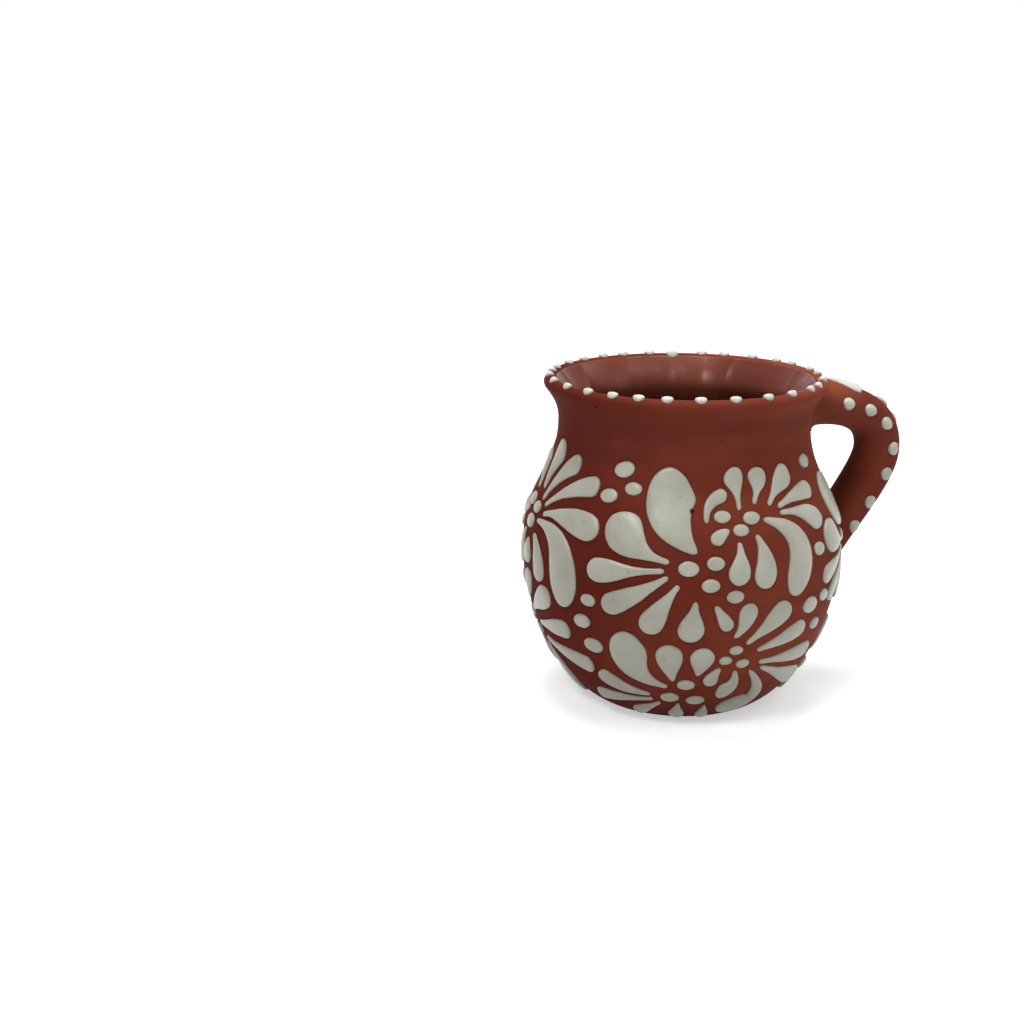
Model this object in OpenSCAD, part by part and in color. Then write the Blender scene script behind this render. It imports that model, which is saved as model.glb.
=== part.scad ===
// Clay mug of the jarrito kind: a thrown round-bellied pot with a flared lip,
// a pulled loop handle, a clear glaze lining, and flowers and dots of white slip.
// Origin: the centre of the flat foot. +X points at the handle, +Z up.

/* [Pot] */
// Height from the foot to the crest of the lip
mug_h = 90; // [86:0.5:104]
// Diameter of the belly where it is widest
belly_d = 87.4; // [80:0.2:100]
// Height of the widest place of the belly
belly_z = 43.5; // [38:0.5:50]
// Diameter of the flat foot
foot_d = 45; // [38:0.5:52]
// Diameter of the neck where it is narrowest
neck_d = 68.2; // [62:0.2:74]
// Drop from the crest of the lip to the narrowest place of the neck
neck_drop = 12; // [9:0.5:15]
// Diameter of the lip over its outer edge
lip_d = 76.2; // [73:0.2:82]
// Thickness of the rounded lip
lip_t = 3.6; // [2.8:0.1:4.6]
// Steepness of the flare where it meets the lip, in degrees above level
lip_flare = 52; // [40:1:65]
// Thickness of the thrown wall
wall_t = 4.2; // [3:0.1:5.4]
// Thickness of the floor in the middle
floor_t = 5; // [3.5:0.1:8]

/* [Glaze] */
// Thickness of the clear glaze that lines the inside
glaze_t = 0.4; // [0.2:0.05:1]

/* [Handle] */
// Reach of the handle from the axis of the pot to its outer side
handle_reach = 65.4; // [62:0.2:72]
// Drop from the crest of the lip to the middle of the handle's upper root
handle_top_drop = 8.6; // [7:0.2:12]
// Height of the middle of the handle where it stands out furthest
handle_bow_z = 66.5; // [62:0.5:72]
// Height at which the middle of the handle runs into the belly
handle_low_z = 39; // [34:0.5:44]
// Width of the handle, across the loop
handle_w = 15; // [12:0.2:19]
// Thickness of the handle at the grip
handle_t = 12; // [9:0.2:13]
// Thickness of the handle near its upper root
handle_top_t = 10; // [9:0.2:12]

/* [Slip] */
// Height that the slip stands off the clay
slip_t = 0.9; // [0.6:0.05:1.6]
// Width at which a stroke of slip reaches its full height
slip_full_w = 4.5; // [3:0.1:7]
// Reach of a flower round the pot, as a share of the belly's radius
bloom_w_share = 0.458; // [0.39:0.002:0.47]
// Reach of a flower up the pot, as a share of the wall's length
bloom_h_share = 0.206; // [0.175:0.001:0.212]
// Width of a petal at its drawn-out tip, as a share of its flower's reach
petal_tip_share = 0.075; // [0.05:0.005:0.09]
// Length of a slip dot, as a share of a flower's reach
dot_l_share = 0.235; // [0.18:0.005:0.25]
// Width of a slip dot, as a share of a flower's reach
dot_w_share = 0.178; // [0.14:0.002:0.19]
// Length of a dot on the lip
rim_dot_l = 3.5; // [3:0.1:4.2]
// Number of dots round the lip
rim_dots = 29; // [24:1:33]
// Diameter of a dot on the handle
handle_dot_d = 3.5; // [2.6:0.1:4.2]

/* [Colours] */
// Fired red clay
clay_colour = "#8a4630"; // ["#8a4630", "#9c5a3c", "#6f3a2a"]
// Red-brown clay under its clear glaze
glaze_colour = "#6a2c1f"; // ["#6a2c1f", "#7a3a28"]
// White slip
slip_colour = "#c9c8bb"; // ["#c9c8bb", "#dddccf"]

/* [Hidden] */
belly_r = belly_d / 2;
foot_r = foot_d / 2;
neck_r = neck_d / 2;
neck_z = mug_h - neck_drop;
lip_r = lip_t / 2;
// Centre of the round lip
lip_ring_r = lip_d / 2 - lip_r;
lip_ring_z = mug_h - lip_r;

// Counts of facets
round_fn = 96;
dot_fn = 24;
curve_steps = 9;
lip_steps = 8;

// How far the shaping points of the pot's three curves lie along it
foot_pull_share = 0.61;
foot_low_share = 0.074;
belly_low_share = 0.46;
belly_high_share = 0.45;
neck_low_share = 0.58;
neck_high_share = 0.33;
flare_pull_share = 0.28;
bowl_share = 0.46;

// A point and a direction of a cubic curve through p[0] and p[3]
function curve_at(p, t) =
    pow(1 - t, 3) * p[0] + 3 * t * pow(1 - t, 2) * p[1]
    + 3 * t * t * (1 - t) * p[2] + pow(t, 3) * p[3];
function curve_way(p, t) =
    let (d = pow(1 - t, 2) * (p[1] - p[0]) + 2 * t * (1 - t) * (p[2] - p[1])
        + t * t * (p[3] - p[2]))
    d / norm(d);

// The pot's outer wall: foot to belly, belly to neck, neck to lip
lip_start = [lip_ring_r + lip_r * sin(lip_flare), lip_ring_z - lip_r * cos(lip_flare)];
flare_way = [cos(lip_flare), sin(lip_flare)];
lower_curve = [
    [foot_r, 0],
    [foot_r * (1 - foot_pull_share) + belly_r * foot_pull_share - wall_t, belly_z * foot_low_share],
    [belly_r, belly_z * belly_low_share],
    [belly_r, belly_z]
];
upper_curve = [
    [belly_r, belly_z],
    [belly_r, belly_z + (neck_z - belly_z) * belly_high_share],
    [neck_r, belly_z + (neck_z - belly_z) * neck_low_share],
    [neck_r, neck_z]
];
flare_curve = [
    [neck_r, neck_z],
    [neck_r, neck_z + neck_drop * neck_high_share],
    lip_start - flare_way * neck_drop * flare_pull_share,
    lip_start
];
outer_wall = concat(
    [for (i = [0 : curve_steps - 1]) curve_at(lower_curve, i / curve_steps)],
    [for (i = [0 : curve_steps - 1]) curve_at(upper_curve, i / curve_steps)],
    [for (i = [0 : curve_steps]) curve_at(flare_curve, i / curve_steps)]
);

// The rounded lip, from the end of the flare over the crest to the inside
lip_arc = [for (i = [1 : lip_steps - 1])
    let (a = lip_flare - 90 + 180 * i / lip_steps)
    [lip_ring_r + lip_r * cos(a), lip_ring_z + lip_r * sin(a)]];
lip_outside = [for (p = lip_arc) if (p[0] > lip_ring_r) p];

// The inner wall: the outer wall set in by its thickness, then the bowl of the floor.
// back is how much further in the surface lies, for the face of the glaze.
function inner_flare(back) = [for (i = [curve_steps : -1 : 0])
    let (t = i / curve_steps, way = curve_way(flare_curve, t),
        thick = (1 - t) * wall_t + t * lip_t + back)
    curve_at(flare_curve, t) + thick * [-way[1], way[0]]];
function inner_upper(back) = [for (i = [curve_steps - 1 : -1 : 0])
    let (t = i / curve_steps, way = curve_way(upper_curve, t))
    curve_at(upper_curve, t) + (wall_t + back) * [-way[1], way[0]]];
function bowl_curve(back) = [
    [belly_r - wall_t - back, belly_z],
    [belly_r - wall_t - back, belly_z * bowl_share],
    [foot_r, floor_t + back],
    [0, floor_t + back]
];
function inner_bowl(back) = [for (i = [1 : curve_steps])
    curve_at(bowl_curve(back), i / curve_steps)];
function inner_wall(back) = concat(inner_flare(back), inner_upper(back), inner_bowl(back));

// Places on the outer wall, by the length of wall from the foot's edge
wall_lengths = [for (i = 0, s = 0; i < len(outer_wall);
    s = s + (i + 1 < len(outer_wall) ? norm(outer_wall[i + 1] - outer_wall[i]) : 0),
    i = i + 1) s];
wall_len = wall_lengths[len(wall_lengths) - 1];
wall_r_by_len = [for (i = [0 : len(outer_wall) - 1]) [wall_lengths[i], outer_wall[i][0]]];
wall_z_by_len = [for (i = [0 : len(outer_wall) - 1]) [wall_lengths[i], outer_wall[i][1]]];
wall_step_share = 0.008;
wall_step = wall_len * wall_step_share;
function wall_point(s) = [lookup(s, wall_r_by_len), lookup(s, wall_z_by_len)];
function wall_way(s) =
    let (d = wall_point(s + wall_step) - wall_point(s - wall_step))
    d / norm(d);

// The pattern is laid out flat: x runs round the belly, y up the wall, up off the wall
function on_wall(x, y, up) =
    let (p = wall_point(y), way = wall_way(y), turn = x / belly_r * 180 / PI,
        r = p[0] + up * way[1])
    [r * cos(turn), r * sin(turn), p[1] - up * way[0]];

// How far the hollow of the neck stands up over a flat base of that half length
function wall_rise(s, half_l) =
    let (p = wall_point(s), way = wall_way(s), off = [way[1], -way[0]])
    max(0, (wall_point(s + half_l) - p) * off, (wall_point(s - half_l) - p) * off);

// Lays children whose +X is off the wall on the wall at that place
module seat_on_wall(turn, s, tilt, half_l) {
    p = wall_point(s);
    way = wall_way(s);
    seat = p + wall_rise(s, half_l) * [way[1], -way[0]];
    rotate([0, 0, turn])
        translate([seat[0], 0, seat[1]])
            rotate([0, atan2(way[0], way[1]), 0])
                rotate([tilt, 0, 0])
                    children();
}

// Petals of the four kinds of flower. A row holds the tip, the end of the head, the
// width and the bow to the left, as shares of the flower's reach, with the hub at 0,
// and how late the petal swells, where 1 is a plain wedge. An eighth number says how
// far along the petal bends most, where that isn't half way.
upper_left_petal_shares = [
    [0.065, 0.18, -0.19, 1.25, 0.77, 0.23, 1.1, 0.27],
    [-0.275, 0.08, -1.07, 0.64, 0.555, 0.12, 1.55],
    [-0.335, -0.03, -1.38, -0.14, 0.33, 0, 1.8],
    [-0.285, -0.11, -1.15, -0.61, 0.305, 0.02, 0.9],
    [-0.15, -0.21, -0.57, -0.885, 0.33, -0.01, 1.2],
    [0.075, -0.43, 0.01, -0.995, 0.355, 0, 1.2],
    [0.325, -0.49, 0.545, -0.83, 0.19, 0, 1]
];
upper_left_dot_shares = [[-0.03, 0.005, 1.12], [0.315, 0.07, 1], [0.255, -0.215, 1]];
upper_right_petal_shares = [
    [-0.645, -0.03, -0.315, 0.335, 0.19, 0.115, 0.8],
    [-0.33, -0.13, -0.56, -0.295, 0.185, -0.025, 0.6],
    [-0.155, 0.12, -0.225, 0.67, 0.325, -0.03, 2.4],
    [0.09, 0.185, 0.235, 0.655, 0.335, -0.035, 2.2],
    [0.34, 0.14, 0.87, 0.555, 0.325, 0.035, 1.5],
    [0.50, 0.10, 1.345, 0.225, 0.25, 0.045, 1],
    [0.51, 0.02, 1.33, -0.25, 0.315, 0.085, 1.6],
    [0.20, -0.03, 0.60, -1.08, 0.44, 0.35, 0.6, 0.42],
    [0.045, -0.21, 0.11, -0.905, 0.325, 0.07, 0.9],
    [-0.21, -0.285, -0.255, -0.83, 0.295, 0.025, 1.3]
];
upper_right_dot_shares = [[-0.415, 0.05, 0.93], [-0.165, -0.135, 0.9], [0.015, 0.01, 0.98]];
lower_left_petal_shares = [
    [-0.09, 0.065, -0.635, 0.93, 0.56, 0.24, 1.0],
    [-0.38, -0.12, -1.22, 0.155, 0.28, 0.06, 0.9],
    [-0.35, -0.22, -1.48, -0.34, 0.25, 0.01, 1.2],
    [-0.23, -0.305, -0.80, -0.655, 0.25, 0, 1],
    [0.085, -0.30, 0.05, -0.72, 0.325, 0, 1],
    [0.575, -0.36, 0.585, -0.72, 0.275, 0, 1],
    [-0.005, 0.19, -0.075, 0.795, 0.385, 0.015, 0.8],
    [0.345, 0.295, 0.42, 0.755, 0.345, 0, 0.8]
];
lower_left_dot_shares = [[0.19, 0.12, 1], [-0.06, -0.155, 1.05], [0.375, -0.21, 1.05]];
lower_right_petal_shares = [
    [-0.105, 0.38, 0.055, 0.86, 0.26, -0.055, 1],
    [0.085, 0.27, 0.695, 0.765, 0.325, 0, 1.1],
    [0.275, 0.145, 1.09, 0.375, 0.275, 0, 0.9],
    [0.36, -0.06, 1.45, -0.09, 0.285, 0, 1],
    [0.425, -0.155, 1.575, -0.62, 0.325, -0.02, 0.9],
    [0.24, -0.185, -0.09, -0.95, 0.44, 0.52, 0.7],
    [-0.01, -0.155, -0.215, -0.60, 0.30, 0.13, 0.9],
    [-0.24, -0.095, -0.38, -0.405, 0.23, -0.02, 0.8]
];
lower_right_dot_shares = [[-0.05, 0.185, 0.78], [-0.18, 0.03, 0.75], [0.09, -0.045, 0.8]];

side_petal_shares = [
    [-0.10, 0.35, 0.15, 1.02, 0.36, 0.12, 0.7],
    [0.035, 0.215, 0.72, 0.875, 0.28, 0.12, 0.8],
    [0.175, 0.165, 1.22, 0.63, 0.28, 0.09, 1],
    [0.225, 0.05, 1.40, 0.04, 0.37, 0.085, 1.3, 0.35],
    [0.10, -0.065, 0.83, -1.07, 0.52, 0.40, 0.9, 0.38],
    [0.10, -0.25, 0.275, -0.86, 0.30, 0.095, 0.8],
    [-0.09, -0.35, -0.125, -0.71, 0.28, 0, 0.9],
    [-0.30, -0.27, -0.47, -0.80, 0.28, -0.02, 1],
    [-0.42, 0, -0.92, -0.05, 0.28, 0.02, 1.2],
    [-0.38, 0.30, -0.72, 0.80, 0.32, -0.03, 1.4]
];
side_dot_shares = [[-0.05, 0.09, 0.95], [-0.14, -0.125, 1.1], [-0.375, 0.14, 1.05]];

// Each flower: its name, its kind, the way round the pot in degrees, its height as a
// share of the wall, its turn in degrees, its size, and the petals and dots left out
bloom_shares = [
    ["front_upper_left_flower", 0, -108.6, 0.574, 0, 1, [], []],
    ["front_upper_right_flower", 1, -86.3, 0.699, 0, 1, [], []],
    ["front_lower_left_flower", 2, -113.4, 0.193, 0, 1, [], []],
    ["front_lower_right_flower", 3, -89.6, 0.298, 0, 1, [], []],
    ["left_upper_left_flower", 0, 149, 0.562, -4, 1, [], []],
    ["left_upper_right_flower", 4, 181, 0.637, 0, 1, [], []],
    ["left_lower_left_flower", 2, 146, 0.183, 0, 1, [], []],
    ["left_lower_right_flower", 3, 174.2, 0.295, -7, 1.03, [4], []],
    ["back_upper_left_flower", 0, 50, 0.56, 3, 0.96, [], []],
    ["back_upper_right_flower", 1, 78, 0.69, -2, 0.98, [], []],
    ["back_lower_left_flower", 2, 46, 0.19, 0, 0.96, [], []],
    ["back_lower_right_flower", 3, 70.2, 0.29, 3.6, 1, [], []],
    ["right_upper_left_flower", 0, -24, 0.56, 10, 0.84, [5, 6], [1]],
    ["right_lower_left_flower", 2, -16, 0.19, 4, 0.8, [], []]
];
kind_petals = [upper_left_petal_shares, upper_right_petal_shares,
    lower_left_petal_shares, lower_right_petal_shares, side_petal_shares];
kind_dots = [upper_left_dot_shares, upper_right_dot_shares,
    lower_left_dot_shares, lower_right_dot_shares, side_dot_shares];

// Loose dots between the flowers: the way round in degrees, the height as a share of
// the wall, the size and the tilt in degrees
scatter_dot_shares = [
    [-136.9, 0.823, 1.2, 12], [-131.8, 0.775, 0.98, 0], [-141.7, 0.748, 1.06, 4],
    [-144.6, 0.458, 0.96, 0], [-148.1, 0.391, 1.14, 8], [-144.5, 0.320, 1.26, 0],
    [-93.4, 0.497, 0.96, 0], [-60.2, 0.432, 1.30, -8], [-51.3, 0.444, 1.0, -14],
    [-53.9, 0.364, 1.0, -12], [-56.2, 0.584, 1.0, -8], [-49, 0.820, 1.08, -10],
    [121.5, 0.822, 1.25, 8], [127, 0.775, 1.0, 0], [117, 0.752, 1.1, 4],
    [112, 0.455, 1.0, 4], [108, 0.385, 1.2, 8], [112.5, 0.318, 1.2, 0],
    [166.5, 0.426, 0.96, 0], [20, 0.815, 1.2, 8], [25.5, 0.772, 1.0, 0],
    [15.5, 0.735, 1.05, 4], [18, 0.375, 1.1, 6],
    [66.5, 0.485, 0.96, 0]
];

// Shape of a petal, along it and across it
petal_body_shares = [0, 0.22, 0.42, 0.62, 0.81, 1];
petal_head_turns = [34, 62, 84];
shoulder_share = 0.8;
shoulder_height_share = 0.86;
petal_seat_share = 0.2;

function mixed(a, b, t) = a * (1 - t) + b * t;

// The measures of a flower round the pot and up it, and of its dots and petals
bloom_w = belly_r * bloom_w_share;
bloom_h = wall_len * bloom_h_share;
bloom_reach = min(bloom_w, bloom_h);
petal_tip_w = bloom_reach * petal_tip_share;
dot_l = bloom_reach * dot_l_share;
dot_w = bloom_reach * dot_w_share;

// One ring of a petal: six points across it, from the left edge round under and over
function petal_ring(start, bend, end, half_w, up, share) =
    let (place = pow(1 - share, 2) * start + 2 * share * (1 - share) * bend
            + share * share * end,
        way = (1 - share) * (bend - start) + share * (end - bend),
        left = [-way[1], way[0]] / norm(way),
        seat = half_w * half_w / neck_r * petal_seat_share,
        l = place + left * half_w, r = place - left * half_w,
        sl = place + left * half_w * shoulder_share,
        sr = place - left * half_w * shoulder_share)
    [on_wall(l[0], l[1], seat), on_wall(place[0], place[1], seat),
        on_wall(r[0], r[1], seat), on_wall(sr[0], sr[1], seat + up * shoulder_height_share),
        on_wall(place[0], place[1], seat + up),
        on_wall(sl[0], sl[1], seat + up * shoulder_height_share)];

// Closed skin over rings of equal count, each running anticlockwise seen from its start
module loft(rings) {
    n = len(rings[0]);
    last = len(rings) - 1;
    points = [for (ring = rings) for (p = ring) p];
    sides = [for (i = [0 : last - 1]) for (k = [0 : n - 1])
        let (a = i * n + k, b = i * n + (k + 1) % n)
        each [[a, b, b + n], [a, b + n, a + n]]];
    start_cap = [for (k = [1 : n - 2]) [0, k + 1, k]];
    end_cap = [for (k = [1 : n - 2]) [last * n, last * n + k, last * n + k + 1]];
    polyhedron(points = points, faces = concat(sides, start_cap, end_cap), convexity = 4);
}

// Half the width and the height of a stroke of slip along its length, tip to round head
function stroke_rows(tip_w, width, head_share, swell) = [for (q = concat(
    [for (u = petal_body_shares)
        [u * (1 - head_share), mixed(tip_w, width, pow(sin(90 * u), 2 * swell)) / 2]],
    [for (a = petal_head_turns)
        [1 - head_share + head_share * sin(a), width / 2 * cos(a)]]))
    [q[0], q[1], slip_t * sqrt(min(1, 2 * q[1] / slip_full_w))]];

// A petal from its tip to its round head, both given on the flat pattern
module petal(tip, head, tip_w, width, bow, swell, bend_share) {
    way = head - tip;
    bend = mixed(tip, head, bend_share) + 2 * bow * [-way[1], way[0]] / norm(way);
    flat = lookup(head[1], wall_r_by_len) / belly_r;
    head_share = min(1 / 2, width / 2 * flat / norm(way));
    loft([for (q = stroke_rows(tip_w, width, head_share, swell))
        petal_ring(tip, bend, head, q[1], q[2], q[0])]);
}

// A round-topped oval of slip, flat under, with +X off the clay and its length along Y
module slip_dot(length, width, height) {
    half_l = length / 2;
    half_w = width / 2;
    across_r = (half_w * half_w + height * height) / (2 * height);
    along_r = (half_l * half_l + height * height) / (2 * height);
    sunk = along_r - height;
    intersection() {
        translate([-sunk, 0, 0])
            rotate_extrude($fn = dot_fn * 2)
                intersection() {
                    translate([along_r - across_r, 0])
                        circle(r = across_r, $fn = dot_fn);
                    translate([max(0, sunk - height / 2), -across_r])
                        square([height * 2, across_r * 2]);
                }
        translate([0, -length, -width])
            cube([height * 2, length * 2, width * 2]);
    }
}

// A place in a flower, given as shares of its reach and turned, on the flat pattern
function bloom_place(x, y, bloom) =
    [bloom[2] * PI / 180 * belly_r + bloom_w * bloom[5] * (x * cos(bloom[4]) - y * sin(bloom[4])),
        bloom[3] * wall_len + bloom_h * bloom[5] * (x * sin(bloom[4]) + y * cos(bloom[4]))];
function kept(k, left_out) = len([for (o = left_out) if (o == k) o]) == 0;

// A dot of slip on the wall of the pot
module wall_dot(turn, s, size, tilt) {
    seat_on_wall(turn, s, tilt, dot_l * size / 2)
        slip_dot(dot_l * size, dot_w * size, slip_t);
}

// One flower: its petals and the dots at its hub
module flower(bloom) {
    petals = kind_petals[bloom[1]];
    dots = kind_dots[bloom[1]];
    reach = bloom_reach * bloom[5];
    color(slip_colour) {
        for (k = [0 : len(petals) - 1])
            if (kept(k, bloom[6])) {
                q = petals[k];
                petal(bloom_place(q[0], q[1], bloom), bloom_place(q[2], q[3], bloom),
                    petal_tip_w * bloom[5], q[4] * reach, q[5] * reach, q[6],
                    len(q) > 7 ? q[7] : 1 / 2);
            }
        for (k = [0 : len(dots) - 1])
            if (kept(k, bloom[7])) {
                place = bloom_place(dots[k][0], dots[k][1], bloom);
                wall_dot(place[0] / belly_r * 180 / PI, place[1], dots[k][2] * bloom[5], 0);
            }
    }
}

// The loose dots between the flowers
module scatter_dots() {
    color(slip_colour)
        for (q = scatter_dot_shares)
            wall_dot(q[0], q[1] * wall_len, q[2], q[3]);
}

// The thrown pot, hollow and open at the top
module body() {
    color(clay_colour)
        rotate_extrude($fn = round_fn)
            polygon(concat([[0, 0]], outer_wall, lip_arc, inner_wall(0)));
}

// The coat of glaze on the inside, from the lip's inner edge down over the floor
module glaze_lining() {
    coat = inner_wall(glaze_t);
    clay = inner_wall(0);
    color(glaze_colour)
        rotate_extrude($fn = round_fn)
            polygon(concat(coat, [for (i = [len(clay) - 1 : -1 : 0]) clay[i]]));
}

// The handle's middle line, in the plane of the loop: out from the neck to the grip,
// then back down into the belly, with both ends run on inside the pot
grip_r = handle_reach - handle_t / 2;
handle_top_z = mug_h - handle_top_drop;
top_sunk_share = 0.35;
low_sunk_share = 0.29;
low_reach_share = 0.83;
top_root = [neck_r * (1 - top_sunk_share), handle_top_z];
low_root = [belly_r * low_reach_share, handle_low_z * (1 - low_sunk_share)];
top_out_share = 0.62;
bow_rise_share = 0.85;
bow_fall_share = 0.2;
low_in_share = 0.47;
low_rise_share = 0.48;
handle_upper_curve = [
    top_root,
    [mixed(top_root[0], grip_r, top_out_share), handle_top_z],
    [grip_r, mixed(handle_bow_z, handle_top_z, bow_rise_share)],
    [grip_r, handle_bow_z]
];
handle_lower_curve = [
    [grip_r, handle_bow_z],
    [grip_r, mixed(handle_bow_z, low_root[1], bow_fall_share)],
    [mixed(low_root[0], grip_r, low_in_share), mixed(low_root[1], handle_bow_z, low_rise_share)],
    low_root
];
handle_rings = 16;
handle_sides = 16;
// Places of more rings in the hollow under the upper root
handle_root_shares = [0.19, 0.205, 0.22, 0.235, 0.28];
// How the handle spreads and thins where it is pressed on to the pot
top_flare_share = 0.55;
top_flare_reach_share = 0.3;
low_flare_share = 0.35;
low_flare_reach_share = 0.35;
low_thin_share = 0.45;
top_t_reach_share = 0.8;
// Radius of the hollow under the upper root, as a share of the thickness there
root_hollow_share = 0.55;

// Along the whole handle, t runs from 0 at the upper root to 1 at the grip and 2 at the lower root
function handle_at(t) = t < 1 ? curve_at(handle_upper_curve, t) : curve_at(handle_lower_curve, t - 1);
function handle_way(t) = t < 1 ? curve_way(handle_upper_curve, t) : curve_way(handle_lower_curve, t - 1);
function top_flare(t) = top_flare_share * exp(-pow(t / top_flare_reach_share, 2));
function low_flare(t) = exp(-pow((2 - t) / low_flare_reach_share, 2));
function handle_half_t(t) =
    mixed(handle_top_t, handle_t, min(1, t / top_t_reach_share)) / 2
    * (1 + top_flare(t) - low_thin_share * low_flare(t));
function handle_half_w(t) = handle_w / 2 * (1 + top_flare(t) + low_flare_share * low_flare(t));
function root_hollow(t) =
    let (r = handle_top_t * root_hollow_share, u = max(0, min(1, 1 - (handle_at(t)[0] - neck_r) / r)))
    t < 1 ? r * (1 - sqrt(1 - u * u)) : 0;
function handle_point(t, a) =
    let (p = handle_at(t), way = handle_way(t),
        half_t = (handle_half_t(t) + (cos(a) < 0 ? root_hollow(t) : 0)) * cos(a))
    [p[0] - way[1] * half_t, handle_half_w(t) * sin(a), p[1] + way[0] * half_t];

// The pulled handle, cut to the curve of the pot where it is pressed on
module handle() {
    color(clay_colour)
        difference() {
            loft([for (t = concat([for (i = [0 : 3]) i / handle_rings], handle_root_shares,
                    [for (i = [5 : 2 * handle_rings]) i / handle_rings]))
                [for (k = [0 : handle_sides - 1]) handle_point(t, 360 * k / handle_sides)]]);
            rotate_extrude($fn = round_fn)
                polygon(concat([[0, 0]], outer_wall, lip_outside, [[lip_ring_r, mug_h], [0, mug_h]]));
        }
}

// The dots round the lip: where the first one is and how far they lean in, as shares of a
// whole turn, and how far each one is out of its even place, as a share of the spacing
rim_dot_start_share = 0.035;
rim_dot_lean_share = 0.228;
rim_dot_shift_shares = [
    0, -0.21, -0.145, -0.02, -0.18, -0.08, -0.24, -0.19, -0.34, -0.37, -0.45, -0.41, -0.77, -0.89,
    -0.76, -0.56, -0.44, -0.435, -0.52, -0.60, -0.56, -0.44, -0.27, -0.24, -0.10, -0.36, -0.23,
    -0.02, -0.22
];
rim_dot_w_share = 0.75;
rim_dot_rise_share = 0.24;
rim_dot_sunk_share = 0.42;

module rim_dot(turn) {
    sunk = lip_r * rim_dot_sunk_share;
    rotate([0, 0, turn])
        translate([lip_ring_r, 0, lip_ring_z])
            rotate([0, -360 * rim_dot_lean_share, 0])
                translate([lip_r - sunk, 0, 0])
                    slip_dot(rim_dot_l, rim_dot_l * rim_dot_w_share,
                        sunk + rim_dot_l * rim_dot_rise_share);
}

module rim_dots() {
    color(slip_colour)
        difference() {
            for (k = [0 : rim_dots - 1])
                rim_dot(360 * (rim_dot_start_share
                    + (k + rim_dot_shift_shares[k % len(rim_dot_shift_shares)]) / rim_dots));
            rotate_extrude($fn = round_fn)
                polygon(concat([lip_start], lip_arc, inner_flare(0)));
        }
}

// Dots down the handle: where along it, in three rows, and the stroke that leads to them
side_dot_place_shares = [0.4, 0.575, 0.76, 0.98, 1.22, 1.45, 1.62];
spine_dot_place_shares = [0.71, 0.84, 0.97, 1.1, 1.23, 1.36, 1.49, 1.62];
side_dot_turn_share = 0.2167;
side_dot_l_share = 1.06;
spine_dot_l_share = 1.25;
handle_dot_rise_share = 0.29;
handle_dot_sunk_share = 0.04;
spine_stroke_start_share = 0.29;
spine_stroke_end_share = 0.52;
spine_stroke_w_share = 2.8;
spine_stroke_head_share = 0.14;

// Lays children whose +X is off the handle on it, at that way along and round it
module seat_on_handle(t, a) {
    way = handle_way(t);
    rotate_up = atan2(-way[0], -way[1]);
    lean = atan2(handle_half_t(t) * sin(a), handle_half_w(t) * cos(a));
    translate(handle_point(t, a))
        rotate([90, rotate_up, 0])
            rotate([0, lean, 0])
                children();
}

module handle_dot(t, a, long_share) {
    sunk = handle_dot_d * handle_dot_sunk_share;
    seat_on_handle(t, a)
        translate([-sunk, 0, 0])
            slip_dot(handle_dot_d * long_share, handle_dot_d, sunk + handle_dot_d * handle_dot_rise_share);
}

// A point on the handle's outer side, at a way along, off to one side and up off the clay
function on_handle(t, side, up) =
    let (a = asin(side / handle_half_w(t)), way = handle_way(t))
    handle_point(t, a) + up * [-way[1] * cos(a), sin(a), way[0] * cos(a)];

// The tapered stroke from the lip to the first of the dots
module spine_stroke() {
    loft([for (q = stroke_rows(petal_tip_w, handle_dot_d * spine_stroke_w_share,
            spine_stroke_head_share, 1))
        let (t = mixed(spine_stroke_start_share, spine_stroke_end_share, q[0]),
            in_w = q[1] * shoulder_share, in_up = q[2] * shoulder_height_share)
        [on_handle(t, q[1], 0), on_handle(t, 0, 0), on_handle(t, -q[1], 0),
            on_handle(t, -in_w, in_up), on_handle(t, 0, q[2]), on_handle(t, in_w, in_up)]]);
}

module handle_near_dots() {
    color(slip_colour)
        for (t = side_dot_place_shares)
            handle_dot(t, -360 * side_dot_turn_share, side_dot_l_share);
}

module handle_far_dots() {
    color(slip_colour)
        for (t = side_dot_place_shares)
            handle_dot(t, 360 * side_dot_turn_share, side_dot_l_share);
}

module handle_spine_dots() {
    color(slip_colour) {
        spine_stroke();
        for (t = spine_dot_place_shares)
            handle_dot(t, 0, spine_dot_l_share);
    }
}

body();
glaze_lining();
handle();
for (b = bloom_shares) flower(b);
scatter_dots();
rim_dots();
handle_spine_dots();
handle_near_dots();
handle_far_dots();
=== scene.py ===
"""Looks of a clay mug of the jarrito kind: thrown pot, pulled handle, glaze, trailed slip."""
import math

import bmesh
import bpy
import numpy as np
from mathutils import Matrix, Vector


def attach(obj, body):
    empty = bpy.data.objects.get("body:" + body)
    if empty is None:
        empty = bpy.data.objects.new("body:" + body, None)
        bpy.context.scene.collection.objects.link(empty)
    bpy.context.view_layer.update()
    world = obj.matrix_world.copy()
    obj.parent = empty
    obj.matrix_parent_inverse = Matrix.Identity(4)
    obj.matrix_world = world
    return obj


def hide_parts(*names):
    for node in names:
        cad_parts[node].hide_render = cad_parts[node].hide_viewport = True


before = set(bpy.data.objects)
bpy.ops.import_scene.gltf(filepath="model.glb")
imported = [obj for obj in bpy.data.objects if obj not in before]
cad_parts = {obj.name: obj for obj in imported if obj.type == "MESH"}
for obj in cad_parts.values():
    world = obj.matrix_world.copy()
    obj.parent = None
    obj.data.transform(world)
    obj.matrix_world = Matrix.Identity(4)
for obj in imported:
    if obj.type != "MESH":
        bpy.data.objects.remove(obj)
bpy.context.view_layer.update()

MM = 0.001

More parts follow.
